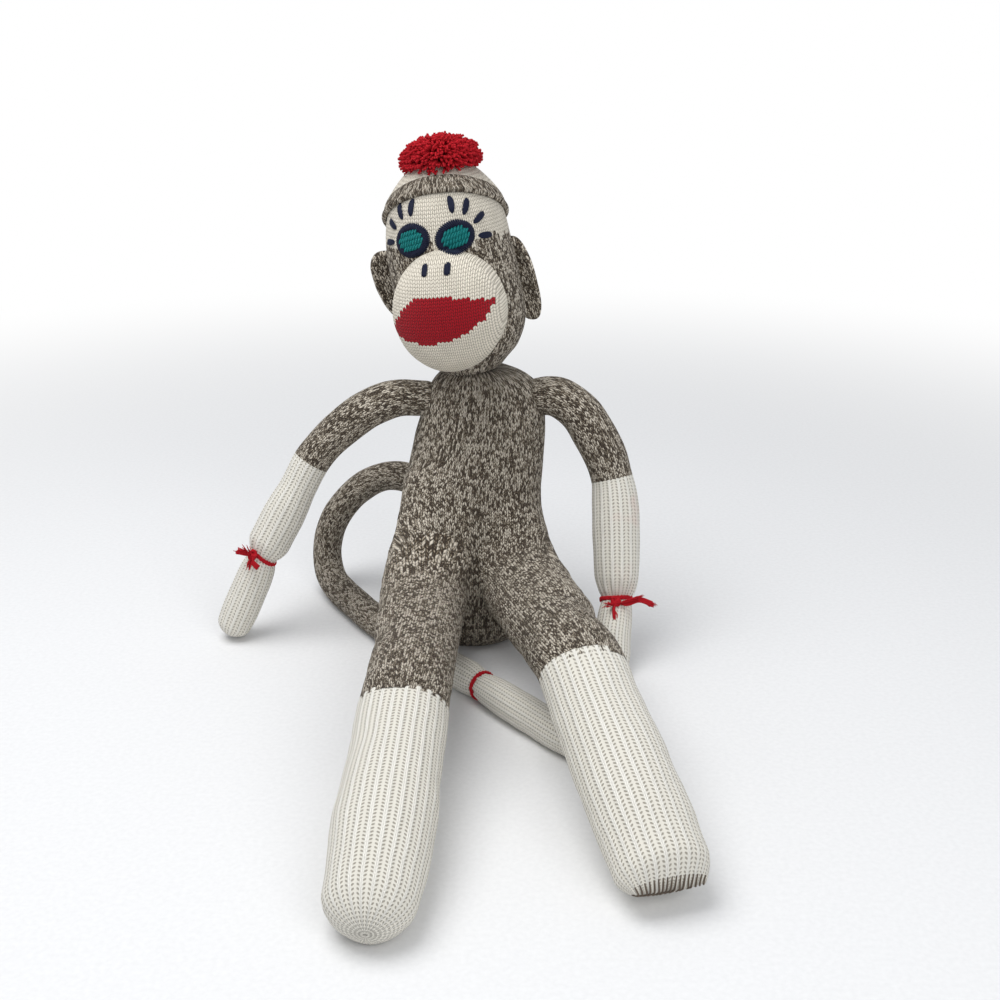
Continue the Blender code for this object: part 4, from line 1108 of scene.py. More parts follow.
@dataclass
class Body:
    """The body sock: the torso and both thighs, which flow into each other."""

    legs: tuple
    width: float = 0.086
    depth: float = 0.066
    height: float = 0.165
    side_lean: float = 0.008
    back_lean: float = 0.025
    rings: tuple = (
        (0.0, 0.74, 0.74, 0.0, 0.0),
        (0.07, 0.95, 0.95, 0.0, 0.05),
        (0.22, 1.00, 1.00, 0.0, 0.20),
        (0.43, 0.98, 0.97, 0.0, 0.42),
        (0.66, 0.95, 0.92, 0.3, 0.66),
        (0.84, 0.88, 0.82, 0.8, 0.85),
        (0.94, 0.76, 0.70, 0.9, 0.95),
        (1.000, 0.52, 0.54, 0.6, 1.0),
    )
    voxel: float = 0.0025
    groin: float = -0.033
    hip_filling: tuple = (
        (-13.0, 8.0, 92.0, 30.0, 26.0),
        (-15.0, 3.0, 82.0, 29.5, 26.0),
        (-18.0, -4.0, 73.0, 28.5, 25.0),
        (-21.5, -12.0, 65.0, 27.0, 24.0),
        (-24.5, -20.0, 59.0, 26.0, 22.5),
        (-27.0, -29.0, 54.0, 25.0, 21.5),
        (-28.5, -39.0, 50.0, 24.5, 21.0),
        (-29.3, -50.0, 47.5, 24.0, 20.5),
        (-29.7, -62.0, 46.0, 23.6, 20.5),
        (-29.7, -74.0, 46.0, 23.3, 20.4),
        (-29.7, -86.0, 46.0, 23.0, 20.4),
        (-29.5, -98.0, 46.2, 22.6, 20.4),
        (15.0, 6.0, 72.0, 28.5, 26.0),
        (20.0, -1.0, 62.0, 27.0, 24.0),
        (25.0, -10.0, 54.0, 26.0, 22.5),
        (29.5, -20.0, 49.5, 25.2, 21.8),
        (33.0, -31.0, 48.5, 24.8, 21.3),
        (36.0, -43.0, 49.0, 24.3, 21.0),
        (38.8, -56.0, 50.2, 23.5, 20.6),
        (41.5, -69.0, 52.0, 22.9, 20.4),
        (44.5, -83.0, 53.6, 22.4, 20.3),
        (47.5, -97.0, 55.0, 22.3, 20.2),
    )
    wales: int = 86
    around: int = 64
    rows: int = 84

    def level(self, height: np.ndarray, column: int) -> np.ndarray:
        """One column of the ring table, smooth over the height."""
        return ring_column(self.rings, height / self.height, column)

    def place(self, turn: np.ndarray, along: np.ndarray) -> np.ndarray:
        """Points of the torso for turn shares and row shares."""
        bottom = np.clip(along / 0.12, 0, 1)
        top = np.clip((1 - along) / 0.06, 0, 1)
        height = self.height * np.clip((along - 0.06) / 0.91, 0, 1)
        round_in = np.sqrt(1 - (1 - bottom) ** 2) * np.sqrt(1 - (1 - top) ** 2)
        angle = 2 * math.pi * turn
        x = self.level(height, 3) * self.side_lean
        y = self.level(height, 4) * self.back_lean
        x = x + np.cos(angle) * self.level(height, 1) * self.width / 2 * round_in
        y = y + np.sin(angle) * self.level(height, 2) * self.depth / 2 * round_in
        return np.stack([x, y, height], 1)

    def build(self, finishes: Finishes) -> None:
        """Joins torso and thighs, smooths the join, cuts them at the groin and dresses the parts."""
        torso = rolled_sheet("torso_skin", self.around, self.rows, self.place, lambda u, v: (u, v))
        tubes = [leg.tube(ribbed_from=9) for leg in self.legs]
        thighs = [tube.plain_whole(f"leg_{k}") for k, tube in enumerate(tubes)]
        fillings = []
        for x, y, z, wide, high in self.hip_filling:
            bpy.ops.object.select_all(action="DESELECT")
            bpy.ops.mesh.primitive_uv_sphere_add(segments=32, ring_count=20, radius=1, location=(0, 0, 0))
            filling = bpy.context.object
            bpy.ops.transform.resize(value=(wide * MM, wide * MM, high * MM))
            bpy.ops.transform.translate(value=(x * MM, y * MM, z * MM))
            bpy.ops.object.transform_apply(location=True, rotation=True, scale=True)
            fillings.append(filling)
        only(torso)
        for part in (*thighs, *fillings):
            part.select_set(True)
        bpy.ops.object.join()
        apply_modifier(torso, "REMESH", mode="VOXEL", voxel_size=self.voxel)
        apply_modifier(torso, "SMOOTH", factor=0.5, iterations=7)
        subdivide(torso)
        lumps(torso, 0.028, 0.0020)
        flatten_on_table(torso)
        for leg, tube, thigh in zip(self.legs, tubes, self.part_off(torso, tubes)):
            side = leg.side.value
            dress(thigh, finishes.marl)
            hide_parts(f"{side}_thigh", f"{side}_thigh_stuffing")
            x, z = (tube.line.at(np.array([0.03]))[0][0][i] for i in (0, 2))
            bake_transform(thigh)
        dress(torso, finishes.marl)
        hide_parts("torso", "torso_stuffing")
        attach(torso, "body")

    def part_off(self, torso: bpy.types.Object, tubes: list) -> list:
        """Cuts the thighs off the torso, trims them at the knees and counts all their stitches."""
        parts = []
        for leg, tube in zip(self.legs, tubes):
            thigh = copied(torso, f"{leg.side.value}_thigh_skin")
            knee_place = np.array([tube.ends[1] + leg.knee_set])
            place, ahead = tube.line.at(knee_place)
            _, up = tube.line.cross_axes(knee_place, ahead)
            knee = unit(ahead - up * tube.tilt)[0]
            at_groin = ((0, self.groin, 0), (0, 1, 0))
            at_middle = ((0, 0, 0), (-leg.side.sign, 0, 0))
            cut_away(thigh, at_groin, at_middle, (tuple(place[0]), tuple(knee)))
            self.count_leg(thigh, tube)
            parts.append(thigh)
        cut_away(torso, ((0, self.groin, 0), (0, -1, 0)))
        self.count_torso(torso)
        for piece in (torso, *parts):
            only(piece)
            bpy.ops.object.shade_smooth()
        return parts

    def count_leg(self, piece: bpy.types.Object, tube: Tube) -> None:
        """Stitch counts of a thigh, from its own middle line."""
        places = vertex_places(piece)
        ends, _ = tube.line.at(np.array([tube.ends[0], tube.ends[1]]))
        ahead = unit(ends[1] - ends[0])
        side = unit(np.cross(ahead, row(0, 0, 1)))
        up = np.cross(side, ahead)
        gap = places - ends[0]
        turn = np.arctan2(gap @ up, gap @ side) / (2 * math.pi)
        self.count(piece, turn, gap @ ahead / COURSE, tube.wales)

    def count_torso(self, piece: bpy.types.Object) -> None:
        """Stitch counts of the torso, round its own middle."""
        places = vertex_places(piece)
        x = places[:, 0] - self.level(places[:, 2], 3) * self.side_lean
        y = places[:, 1] - self.level(places[:, 2], 4) * self.back_lean
        normals = np.empty(len(places) * 3)
        piece.data.vertices.foreach_get("normal", normals)
        upward = np.clip((normals.reshape(-1, 3)[:, 2] - 0.1) / 0.6, 0, 1)
        share = np.clip(np.abs(x) / (self.level(places[:, 2], 1) * self.width * 0.56), 0, 0.97)
        front = -self.level(places[:, 2], 2) * self.depth / 2 * np.sqrt(1 - share**2)
        beyond = np.clip(front - y, 0, None)
        turn = np.arctan2(y + beyond * upward, x) / (2 * math.pi)
        self.count(piece, turn, (places[:, 2] - beyond * 0.8) / COURSE, self.wales)

    def count(self, piece: bpy.types.Object, turn: np.ndarray, along: np.ndarray, wales: int) -> None:
        """Writes stitch counts as the UV map, unbroken across the place where the turn starts again."""
        mesh = piece.data
        while mesh.uv_layers:
            mesh.uv_layers.remove(mesh.uv_layers[0])
        corner = corner_vertices(mesh)
        first = np.empty(len(mesh.polygons), np.int32)
        mesh.polygons.foreach_get("loop_start", first)
        sizes = np.diff(np.append(first, len(corner)))
        lead = np.repeat(turn[corner[first]], sizes)
        turn_at = turn[corner]
        turn_at = turn_at - np.rint(turn_at - lead)
        write_counts(mesh.uv_layers.new(name="UVMap"), np.stack([turn_at * wales, along[corner]], 1))


@dataclass
class Tail:
    """The long tail: marl for two thirds, ribbed cream at its end, curled round the doll's right side."""

    points: tuple
    stations: tuple
    ribs: int = 15
    wales: int = 32
    tie_back: float = 0.0043
    tie_radius: float = 7.9

    def build(self, finishes: Finishes) -> None:
        """Rolls the tail, cuts it at its joints, dresses the parts and ties the yarn round it."""
        tube = Tube(
            points=self.points, breaks=(4, 8, 12, 16), stations=self.stations, around=self.ribs * 4,
            step=0.0016, wales=self.wales, ribs=self.ribs, ribbed_from=3.0, start_reach=0.6,
            gathers=(Gather(3.93, 5.0, 0.9, 9),), tip_reach=1.0, rib_height=0.0004, soften=160,
        )
        whole = tube.roll("tail_whole")
        names = ("tail_root", "tail_arch", "tail_middle", "tail_end", "tail_tip")
        for number, name in enumerate(names):
            cream = number > 2
            piece = tube.cut(whole, name + "_skin", number, number + 1, cream)
            dress(piece, finishes.rib if cream else finishes.marl)
            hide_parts(name)
            _, ahead = tube.line.at(np.array([tube.ends[number] + 0.01]))
            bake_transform(piece)
        bpy.data.objects.remove(whole)
        place, ahead = tube.line.at(np.array([tube.ends[4] - self.tie_back]))
        ring = Tie(Vector(place[0]), self.tie_radius, turns=2)
        ring.build("tail_tie_yarn", ahead[0], finishes)
        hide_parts("tail_tie")
        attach(ring.piece, "tail_end")


@dataclass
class Tie:
    """Red yarn wound round a gathered place."""

    centre: Vector
    radius: float
    turns: int
    yarn: float = 0.00085

    def build(self, name: str, ahead: np.ndarray, finishes: Finishes) -> None:
        """Winds two plies round.

        Args:
            name: name of the piece.
            ahead: direction of the limb that is tied.
            finishes: the doll's materials.
        """
        side = unit(np.cross(ahead, row(0, 0, 1)))
        up = np.cross(side, ahead)
        turn = np.linspace(0, 2 * math.pi * self.turns, 40 * self.turns + 1)
        rise = np.linspace(-0.5, 0.5, len(turn)) * self.yarn * 1.9 * (self.turns - 1)
        circle = (side * np.cos(turn)[:, None] + up * np.sin(turn)[:, None]) * self.radius * MM
        loop = np.array(self.centre) + circle + ahead * rise[:, None]
        strands = Strands(sides=7, rings=150)
        for phase in (0, math.pi):
            strands.lay(twisted(loop, self.yarn * 0.55, 0.0042, phase), self.yarn * 0.75, taper=0.9)
        self.piece = strands.join(name, finishes.red, Slot.RED)


@dataclass
class WristTie:
    """The yarn round a wrist: a ring, a knot, a loose end and a frayed tuft."""

    side: Side
    centre: tuple
    ahead: tuple
    knot: tuple
    ends: tuple
    tufts: tuple
    radius: float

    def build(self, finishes: Finishes) -> None:
        """Winds the ring, ties the knot and frays the ends."""
        side = self.side.value
        centre = np.array(self.centre) * MM
        ahead = unit(np.array(self.ahead, float))
        ring = Tie(Vector(centre), self.radius, turns=2)
        ring.build(f"{side}_wrist_yarn", ahead, finishes)
        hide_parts(f"{side}_wrist_tie")
        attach(ring.piece, f"{side}_forearm")

        strands = Strands(sides=6, rings=14)
        knot = np.array(self.knot) * MM
        outward = unit(knot - centre)
        across = unit(np.cross(ahead, outward))
        for lean in (-0.5, 0.6, 0.1):
            turn = np.linspace(0, 2 * math.pi, 13)
            axis_a = unit(across + ahead * lean)
            loop = (
                knot
                + axis_a * np.cos(turn)[:, None] * 2.3 * MM
                + (outward * 0.8 + ahead * (0.8 - lean)) * np.sin(turn)[:, None] * 1.5 * MM
            )
            strands.lay(loop, 0.00105, taper=1.0)
        for end in self.ends:
            points = np.array([self.knot, *end], float) * MM
            for shift in (-0.8, 0.0, 0.8):
                moved = points + (ahead * shift * MM) * np.linspace(0.2, 1.4, len(points))[:, None]
                strands.lay(moved, 0.00085, taper=0.8)
        knotted = strands.join(f"{side}_wrist_knot", finishes.red, Slot.RED)
        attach(knotted, f"{side}_forearm")

        fuzz = Strands(sides=5, rings=4)
        seed = np.random.default_rng(5 + self.side.sign)
        for tuft in self.tufts:
            root, tip = (np.array(end, float) * MM for end in tuft[:2])
            count, spread = tuft[2:]
            for _ in range(count):
                end = tip + seed.normal(0, spread * MM, 3)
                middle = (root + end) / 2 + seed.normal(0, spread * 0.3 * MM, 3)
                fuzz.lay(np.array([root, middle, end]), 0.00038, taper=0.4)
        frayed = fuzz.join(f"{side}_wrist_tufts", finishes.red, Slot.RED)
        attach(frayed, f"{side}_forearm")


@dataclass
class Neck:
    """The gathered neck of the body sock and the thread that draws it in."""

    radius: float = 0.0123
    reach: float = 0.0105
    pleats: int = 16
    wales: int = 48

    def build(self, finishes: Finishes) -> None:
        """Rolls the pleated neck and winds the thread."""

        def place(turn: np.ndarray, along: np.ndarray) -> np.ndarray:
            """Points of the pleated neck."""
            lift = (along - 0.5) * 2
            bulge = np.sqrt(np.clip(1 - lift**4, 0, 1))
            pleat = 0.0007 * (np.abs(np.sin(math.pi * self.pleats * turn)) - 0.5)
            size = (self.radius + pleat) * bulge
            angle = 2 * math.pi * turn
            x, y = np.cos(angle) * size, np.sin(angle) * size
            return np.array(NECK) + np.stack([x, y, lift * self.reach], 1)

        neck = rolled_sheet(
            "neck_gather_skin", self.pleats * 6, 16, place,
            lambda turn, along: (turn * self.wales, along * 2 * self.reach / COURSE),
        )
        subdivide(neck)
        dress(neck, finishes.marl)
        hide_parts("neck_gather")
        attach(neck, "neck")
        thread = Tie(NECK, 12.6, turns=2, yarn=0.0006)
        thread.build("neck_thread_yarn", row(0, 0.001, 1.0), finishes)
        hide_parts("neck_thread")
        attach(thread.piece, "neck")


@dataclass
class Head:
    """The head and its face: the stuffed sock, the muzzle, the cap and the stitched features."""

    height: float = 0.119
    width: float = 0.072
    depth: float = 0.074
    back_set: float = 0.009
    side_set: float = -0.0065
    muzzle_side_set: float = -0.002
    rings: tuple = (
        (0.00, 0.52, 0.48, 0.0),
        (0.05, 0.67, 0.58, 0.1),
        (0.11, 0.85, 0.73, 0.2),
        (0.25, 1.04, 0.91, 0.5),
        (0.44, 1.06, 0.99, 0.8),
        (0.66, 1.01, 1.03, 1.0),
        (0.82, 0.89, 0.94, 1.0),
        (0.94, 0.61, 0.67, 1.0),
        (1.00, 0.38, 0.42, 1.0),
    )
    muzzle_width: float = 0.064
    muzzle_height: float = 0.070
    muzzle_reach: float = 0.030
    muzzle_level: float = 0.0415
    wales: int = 84

    def column(self, level: np.ndarray, number: int) -> np.ndarray:
        """One column of the ring table, smooth over the level."""
        return ring_column(self.rings, level / self.height, number)

    def rise(self, along: np.ndarray) -> np.ndarray:
        """Share of the head's height for a row share. The rows left over close its two ends."""
        return np.clip((along - 0.04) / 0.90, 0, 1)

    def place(self, turn: np.ndarray, along: np.ndarray, grow: float = 0.0) -> np.ndarray:
        """Points of the head, grown outwards, for turn shares and row shares."""
        low, high = self.rings[0][0] * self.height - grow, self.height + grow
        level = low + (high - low) * self.rise(along)
        under = np.clip(along / 0.06, 0, 1)
        over = np.clip((1 - along) / 0.10, 0, 1)
        round_in = np.sqrt(1 - (1 - under) ** 2) * np.sqrt(1 - (1 - over) ** 2)
        held = np.clip(level, 0, self.height)
        dome = np.clip(0.06 - along, 0, 1) * -0.03 + np.clip(along - 0.94, 0, 1) * 0.035
        angle = 2 * math.pi * turn
        x = self.column(held, 3) ** 2 * self.side_set
        x = x + np.cos(angle) * (self.column(held, 1) * self.width / 2 + grow) * round_in
        y = self.column(held, 3) * self.back_set
        y = y + np.sin(angle) * (self.column(held, 2) * self.depth / 2 + grow) * round_in
        return self.to_world(np.stack([x, y, level + dome], 1))

    def to_world(self, places: np.ndarray) -> np.ndarray:
        """Points of the head's own frame in the doll's frame."""
        turn = np.array(HEAD_FRAME.to_3x3())
        return places @ turn.T + np.array(HEAD_FRAME.translation)

    def sheet(self, name: str, rows: int, grow: float, course: float) -> bpy.types.Object:
        """A knitted sheet rolled round the head, whose stitch rows are counted by level."""

        def stitches(turn: np.ndarray, along: np.ndarray) -> tuple[np.ndarray, np.ndarray]:
            """Stitch counts of the head."""
            return turn * self.wales, self.height * self.rise(along) / course

        return rolled_sheet(name, 96, rows, lambda turn, along: self.place(turn, along, grow), stitches)

    def build(self, finishes: Finishes) -> None:
        """Builds the head from its skin outwards."""
        skin = self.sheet("head_skin", 84, 0.0, COURSE)
        subdivide(skin)
        lumps(skin, 0.03, 0.0014)
        dress(skin, finishes.head)
        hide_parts("head", "head_stuffing")
        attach(skin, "head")
        muzzle = self.build_muzzle(finishes)
        self.surface = surface_of([skin, muzzle])
        self.build_cap(finishes)
        self.build_pompom(finishes)
        for side in Side:
            self.build_ear(side, finishes)
            self.build_eye(side, finishes)
            self.build_nostril(side, finishes)

    def build_muzzle(self, finishes: Finishes) -> bpy.types.Object:
        """The heel of the sock, sewn on as the muzzle."""

        def place(turn: np.ndarray, along: np.ndarray) -> np.ndarray:
            """Points of the muzzle's dome, from its rim inside the head to its front."""
            sweep = np.clip((along - 0.2) / 0.8, 0, 1) * math.pi / 2
            forward = np.sin(sweep) ** 0.92 - 0.4 * np.clip((0.2 - along) / 0.2, 0, 1)
            size = np.cos(sweep) ** 0.86
            angle = 2 * math.pi * turn
            x = self.muzzle_side_set + np.cos(angle) * size * self.muzzle_width / 2
            y = self.back_set - self.depth / 2 - forward * self.muzzle_reach
            z = self.muzzle_level + np.sin(angle) * size * self.muzzle_height / 2
            return self.to_world(np.stack([x, y, z], 1))

        def stitches(turn: np.ndarray, along: np.ndarray) -> tuple[np.ndarray, np.ndarray]:
            """Stitch counts, straight across and straight up."""
            size = np.cos(np.clip((along - 0.2) / 0.8, 0, 1) * math.pi / 2) ** 0.86
            angle = 2 * math.pi * turn
            x = np.cos(angle) * size * self.muzzle_width / 2
            z = self.muzzle_level + np.sin(angle) * size * self.muzzle_height / 2
            return x / FINE_WALE, z / FINE_COURSE

        muzzle = rolled_sheet("muzzle_skin", 80, 44, place, stitches)
        subdivide(muzzle)
        lumps(muzzle, 0.03, 0.0012)
        dress(muzzle, finishes.muzzle)
        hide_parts("muzzle", "muzzle_stuffing")
        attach(muzzle, "head")
        return muzzle

    def build_cap(self, finishes: Finishes) -> None:
        """The cap: a cream crown inside a rolled marl band."""
        tilt = Matrix.Rotation(math.radians(-29), 3, "X") @ Vector((-0.09, 0, 1)).normalized()
        normal = HEAD_FRAME.to_3x3() @ tilt
        level = HEAD_FRAME @ Vector((0, self.back_set, 0.1045))
        band_width, edge = 0.0125, 0.0005

        crown = self.sheet("cap_crown_skin", 84, 0.0023, FINE_COURSE)
        cut_away(crown, (level - normal * 0.004, -normal))
        subdivide(crown)
        dress(crown, finishes.crown)
        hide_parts("cap_crown")
        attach(crown, "head")

        band = self.sheet("cap_band_skin", 120, 0.0004, COURSE)
        cut_away(band, (level + normal * edge, normal))
        cut_away(band, (level - normal * (band_width - edge), -normal))
        subdivide(band)
        places = vertex_places(band)
        below = (np.array(level) - places) @ np.array(normal)
        share = np.clip((below + edge) / band_width, 0, 1) * 2 - 1
        middle = np.array(HEAD_FRAME @ Vector((self.side_set, self.back_set, 0.085)))
        outward = places - middle
        outward = unit(outward - np.outer(outward @ np.array(normal), np.array(normal)))
        bulge = (1 - np.abs(share) ** 2.6) ** 0.5 * 0.0022
        hem = 0.0012 * np.exp(-(((share - 0.72) / 0.2) ** 2))
        move_vertices(band, places + outward * (bulge + hem)[:, None])
        apply_modifier(band, "SOLIDIFY", thickness=0.0008, offset=-1)
        dress(band, finishes.marl)
        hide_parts("cap_band")
        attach(band, "head")

    def build_pompom(self, finishes: Finishes) -> None:
        """Some hundreds of cut yarn ends that fan out from the top of the cap."""
        strands = Strands(sides=5, rings=3)
        seed = np.random.default_rng(11)
        count = 1150
        middle = row(self.side_set * 0.8, self.back_set, self.height + 0.0022)
        for number in range(count):
            lift = 1 - 1.22 * (number + 0.5) / count
            turn = number * math.pi * (3 - math.sqrt(5))
            flat = math.sqrt(max(0.0, 1 - lift * lift))
            aim = row(flat * math.cos(turn), flat * math.sin(turn), lift)
            aim = unit(aim + seed.normal(0, 0.10, 3))
            size = row(0.0238, 0.0238, 0.0150) * seed.uniform(0.88, 1.06)
            tip = middle + aim * size
            root = middle + aim * 0.003
            bend = (root + tip) / 2 + seed.normal(0, 0.0011, 3) + row(0, 0, 0.0015)
            strands.lay(self.to_world(np.array([root, bend, tip])), 0.00085, taper=0.85)
        pompom = strands.join("pompom_yarn", finishes.red, Slot.RED)
        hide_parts("pompom")
        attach(pompom, "head")

    def build_ear(self, side: Side, finishes: Finishes) -> None:
        """A flat stuffed ear with a rolled edge."""
        sign = side.sign
        sizes = {Side.RIGHT: (0.0155, 0.0225, -0.28), Side.LEFT: (0.0112, 0.0255, -0.17)}
        reach, half_height, slope = sizes[side]
        half_reach = reach * 0.85
        corners = 2.5
        edge = sign * self.width / 2 + self.side_set * 0.6
        centre = row(edge + sign * (reach - half_reach), self.back_set + 0.008, 0.048)

        def outline(turn: np.ndarray, along: np.ndarray) -> tuple[np.ndarray, np.ndarray, np.ndarray]:
            """Sideways and upward places on the ear, and the share of the way to its edge."""
            share = np.sin(math.pi * along)
            angle = 2 * math.pi * turn
            size = (np.abs(np.cos(angle)) ** corners + np.abs(np.sin(angle)) ** corners) ** (-1 / corners)
            x = np.cos(angle) * size * share * half_reach
            z = np.sin(angle) * size * share * half_height
            return x, z, share

        def place(turn: np.ndarray, along: np.ndarray) -> np.ndarray:
            """Points of the ear's two faces."""
            x, z, share = outline(turn, along)
            rolled_edge = 0.0020 * np.exp(-(((share - 0.84) / 0.13) ** 2))
            thick = (0.0022 + rolled_edge) * np.sqrt(1 - share**9 * 0.999)
            face = np.where(along < 0.5, -1.0, 1.0) * np.where(np.abs(along - 0.5) < 1e-6, 0, 1)
            out = np.clip(x / half_reach, 0, 1)
            y = face * thick - 0.0035 * out**2
            return self.to_world(centre + np.stack([sign * x + slope * z, y, z], 1))

        def stitches(turn: np.ndarray, along: np.ndarray) -> tuple[np.ndarray, np.ndarray]:
            """Stitch counts, straight across and straight up."""
            x, z, _ = outline(turn, along)
            return x / WALE, z / COURSE

        ear = rolled_sheet(f"{side.value}_ear_skin", 56, 40, place, stitches)
        subdivide(ear)
        lumps(ear, 0.015, 0.0008)
        dress(ear, finishes.marl)
        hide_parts(f"{side.value}_ear")
        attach(ear, f"{side.value}_ear")

    def on_face(self, spot: Matrix, x: float, y: float, lift: float) -> np.ndarray:
        """A point of the head or muzzle seen from a spot's own frame, lifted off the knit."""
        normal = spot.to_3x3() @ Vector((0, 0, 1))
        place, facing, _, _ = self.surface.ray_cast(spot @ Vector((x, y, 0.02)), -normal)
        if place is None:
            place = spot @ Vector((x, y, 0))
        return np.array(place + normal * lift)

    def spot_at(self, level: float, bearing: float, turned: float) -> Matrix:
        """A frame on the face: Z outwards, Y upwards, then turned about Z."""
        toward = Vector((math.sin(bearing), -math.cos(bearing), 0))
        start = HEAD_FRAME @ (Vector((self.side_set, self.back_set, level)) + toward * 0.12)
        inward = HEAD_FRAME.to_3x3() @ -toward
        place, normal, _, _ = self.surface.ray_cast(start, inward)
        if normal.dot(inward) > 0:
            normal = -normal
        up = HEAD_FRAME.to_3x3() @ Vector((0, 0, 1))
        across = up.cross(normal).normalized()
        upright = normal.cross(across)
        turn = Matrix((across, upright, normal)).transposed().to_4x4()
        return Matrix.Translation(place) @ turn @ Matrix.Rotation(turned, 4, "Z")

    def build_eye(self, side: Side, finishes: Finishes) -> None:
        """A satin-stitched ring, braided centre stitches and four lashes."""
        sign = side.sign
        level, bearing = 0.0825, math.radians(20)
        spot = self.spot_at(level, sign * bearing, math.radians(14))
        wide, high, ring = 0.0116, 0.0095, 0.0042
        over_ring = ((0.0, -0.0004), (0.25, 0.0010), (0.5, 0.0013), (0.75, 0.0010), (1.0, -0.0004))

        navy = Strands(sides=6, rings=5)
        count = 54
        for number in range(count):
            angle = 2 * math.pi * number / count
            points = []
            for share, lift in over_ring:
                lean = angle + 0.16 * (share - 0.5)
                x = math.cos(lean) * (wide - ring + ring * share)
                y = math.sin(lean) * (high - ring + ring * share)
                points.append(self.on_face(spot, x, y, lift))
            navy.lay(np.array(points), 0.00055, taper=0.8)
        eye = navy.join(f"{side.value}_eye_ring_stitches", finishes.navy, Slot.NAVY)
        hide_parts(f"{side.value}_eye_ring")
        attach(eye, "head")

        teal = Strands(sides=6, rings=5)
        half_x, half_y = wide - ring + 0.0002, high - ring + 0.0002
        for x in np.linspace(-half_x, half_x, 17)[1:-1]:
            top = half_y * math.sqrt(1 - (x / half_x) ** 2)
            points = [self.on_face(spot, x, y, 0.0003) for y in np.linspace(-top, top, 5)]
            teal.lay(np.array(points), 0.0006, taper=0.9)
        rows = 4
        for number in range(rows):
            y = half_y * (2 * (number + 0.5) / rows - 1)
            reach = half_x * math.sqrt(max(0.0, 1 - (y / half_y) ** 2))
            stitches = max(3, round(2 * reach / 0.0016))
            for x in np.linspace(-reach, reach, stitches):
                slant = 0.0010 if number % 2 else 0.0014
                points = [
                    self.on_face(spot, x + slant * s, y + 0.00135 * s, 0.0011 - 0.0005 * s * s)
                    for s in (-1, -0.5, 0, 0.5, 1)
                ]
                teal.lay(np.array(points), 0.00066, taper=0.75)
        centre = teal.join(f"{side.value}_eye_centre_stitches", finishes.teal, Slot.TEAL)
        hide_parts(f"{side.value}_eye_centre")
        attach(centre, "head")

        for count, angle in enumerate((90, 61, 28, -6), start=1):
            from_nose = math.radians(angle if sign > 0 else 180 - angle)
            across = 0.0184 * math.cos(from_nose)
            rise = 0.0179 * math.sin(from_nose)
            lash_spot = self.spot_at(level + rise, sign * bearing + across / (self.width / 2), from_nose)
            lash = Strands(sides=6, rings=8)
            for shift in (-1.0, -0.6, -0.2, 0.2, 0.6, 1.0):
                points = []
                for s in np.linspace(-1, 1, 7):
                    pinch = (1 - s * s) ** 0.5 * 0.0013 * shift
                    points.append(self.on_face(lash_spot, s * 0.0052, pinch, 0.0007 - 0.0010 * s**4))
                lash.lay(np.array(points), 0.00060, taper=0.5)
            name = f"{side.value}_lash_{count}"
            piece = lash.join(name + "_stitches", finishes.navy, Slot.NAVY)
            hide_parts(name)
            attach(piece, "head")

    def build_nostril(self, side: Side, finishes: Finishes) -> None:
        """A short upright satin stitch on the muzzle."""
        facing = HEAD_FRAME @ Matrix.Rotation(math.radians(90), 4, "X")
        aside = self.muzzle_side_set + side.sign * 0.0065
        spot = facing @ Matrix.Translation((aside, self.muzzle_level + 0.0275, 0.075))
        strands = Strands(sides=6, rings=6)
        for shift in (-1.2, -0.4, 0.4, 1.2):
            heights = np.linspace(-0.0033, 0.0033, 6) * (1 - abs(shift) * 0.2)
            points = [
                self.on_face(spot, shift * MM, y, 0.0007 - 0.0010 * (y / 0.0033) ** 4) for y in heights
            ]
            strands.lay(np.array(points), 0.00058, taper=0.6)
        piece = strands.join(f"{side.value}_nostril_stitches", finishes.navy, Slot.NAVY)
        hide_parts(f"{side.value}_nostril")
        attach(piece, "head")


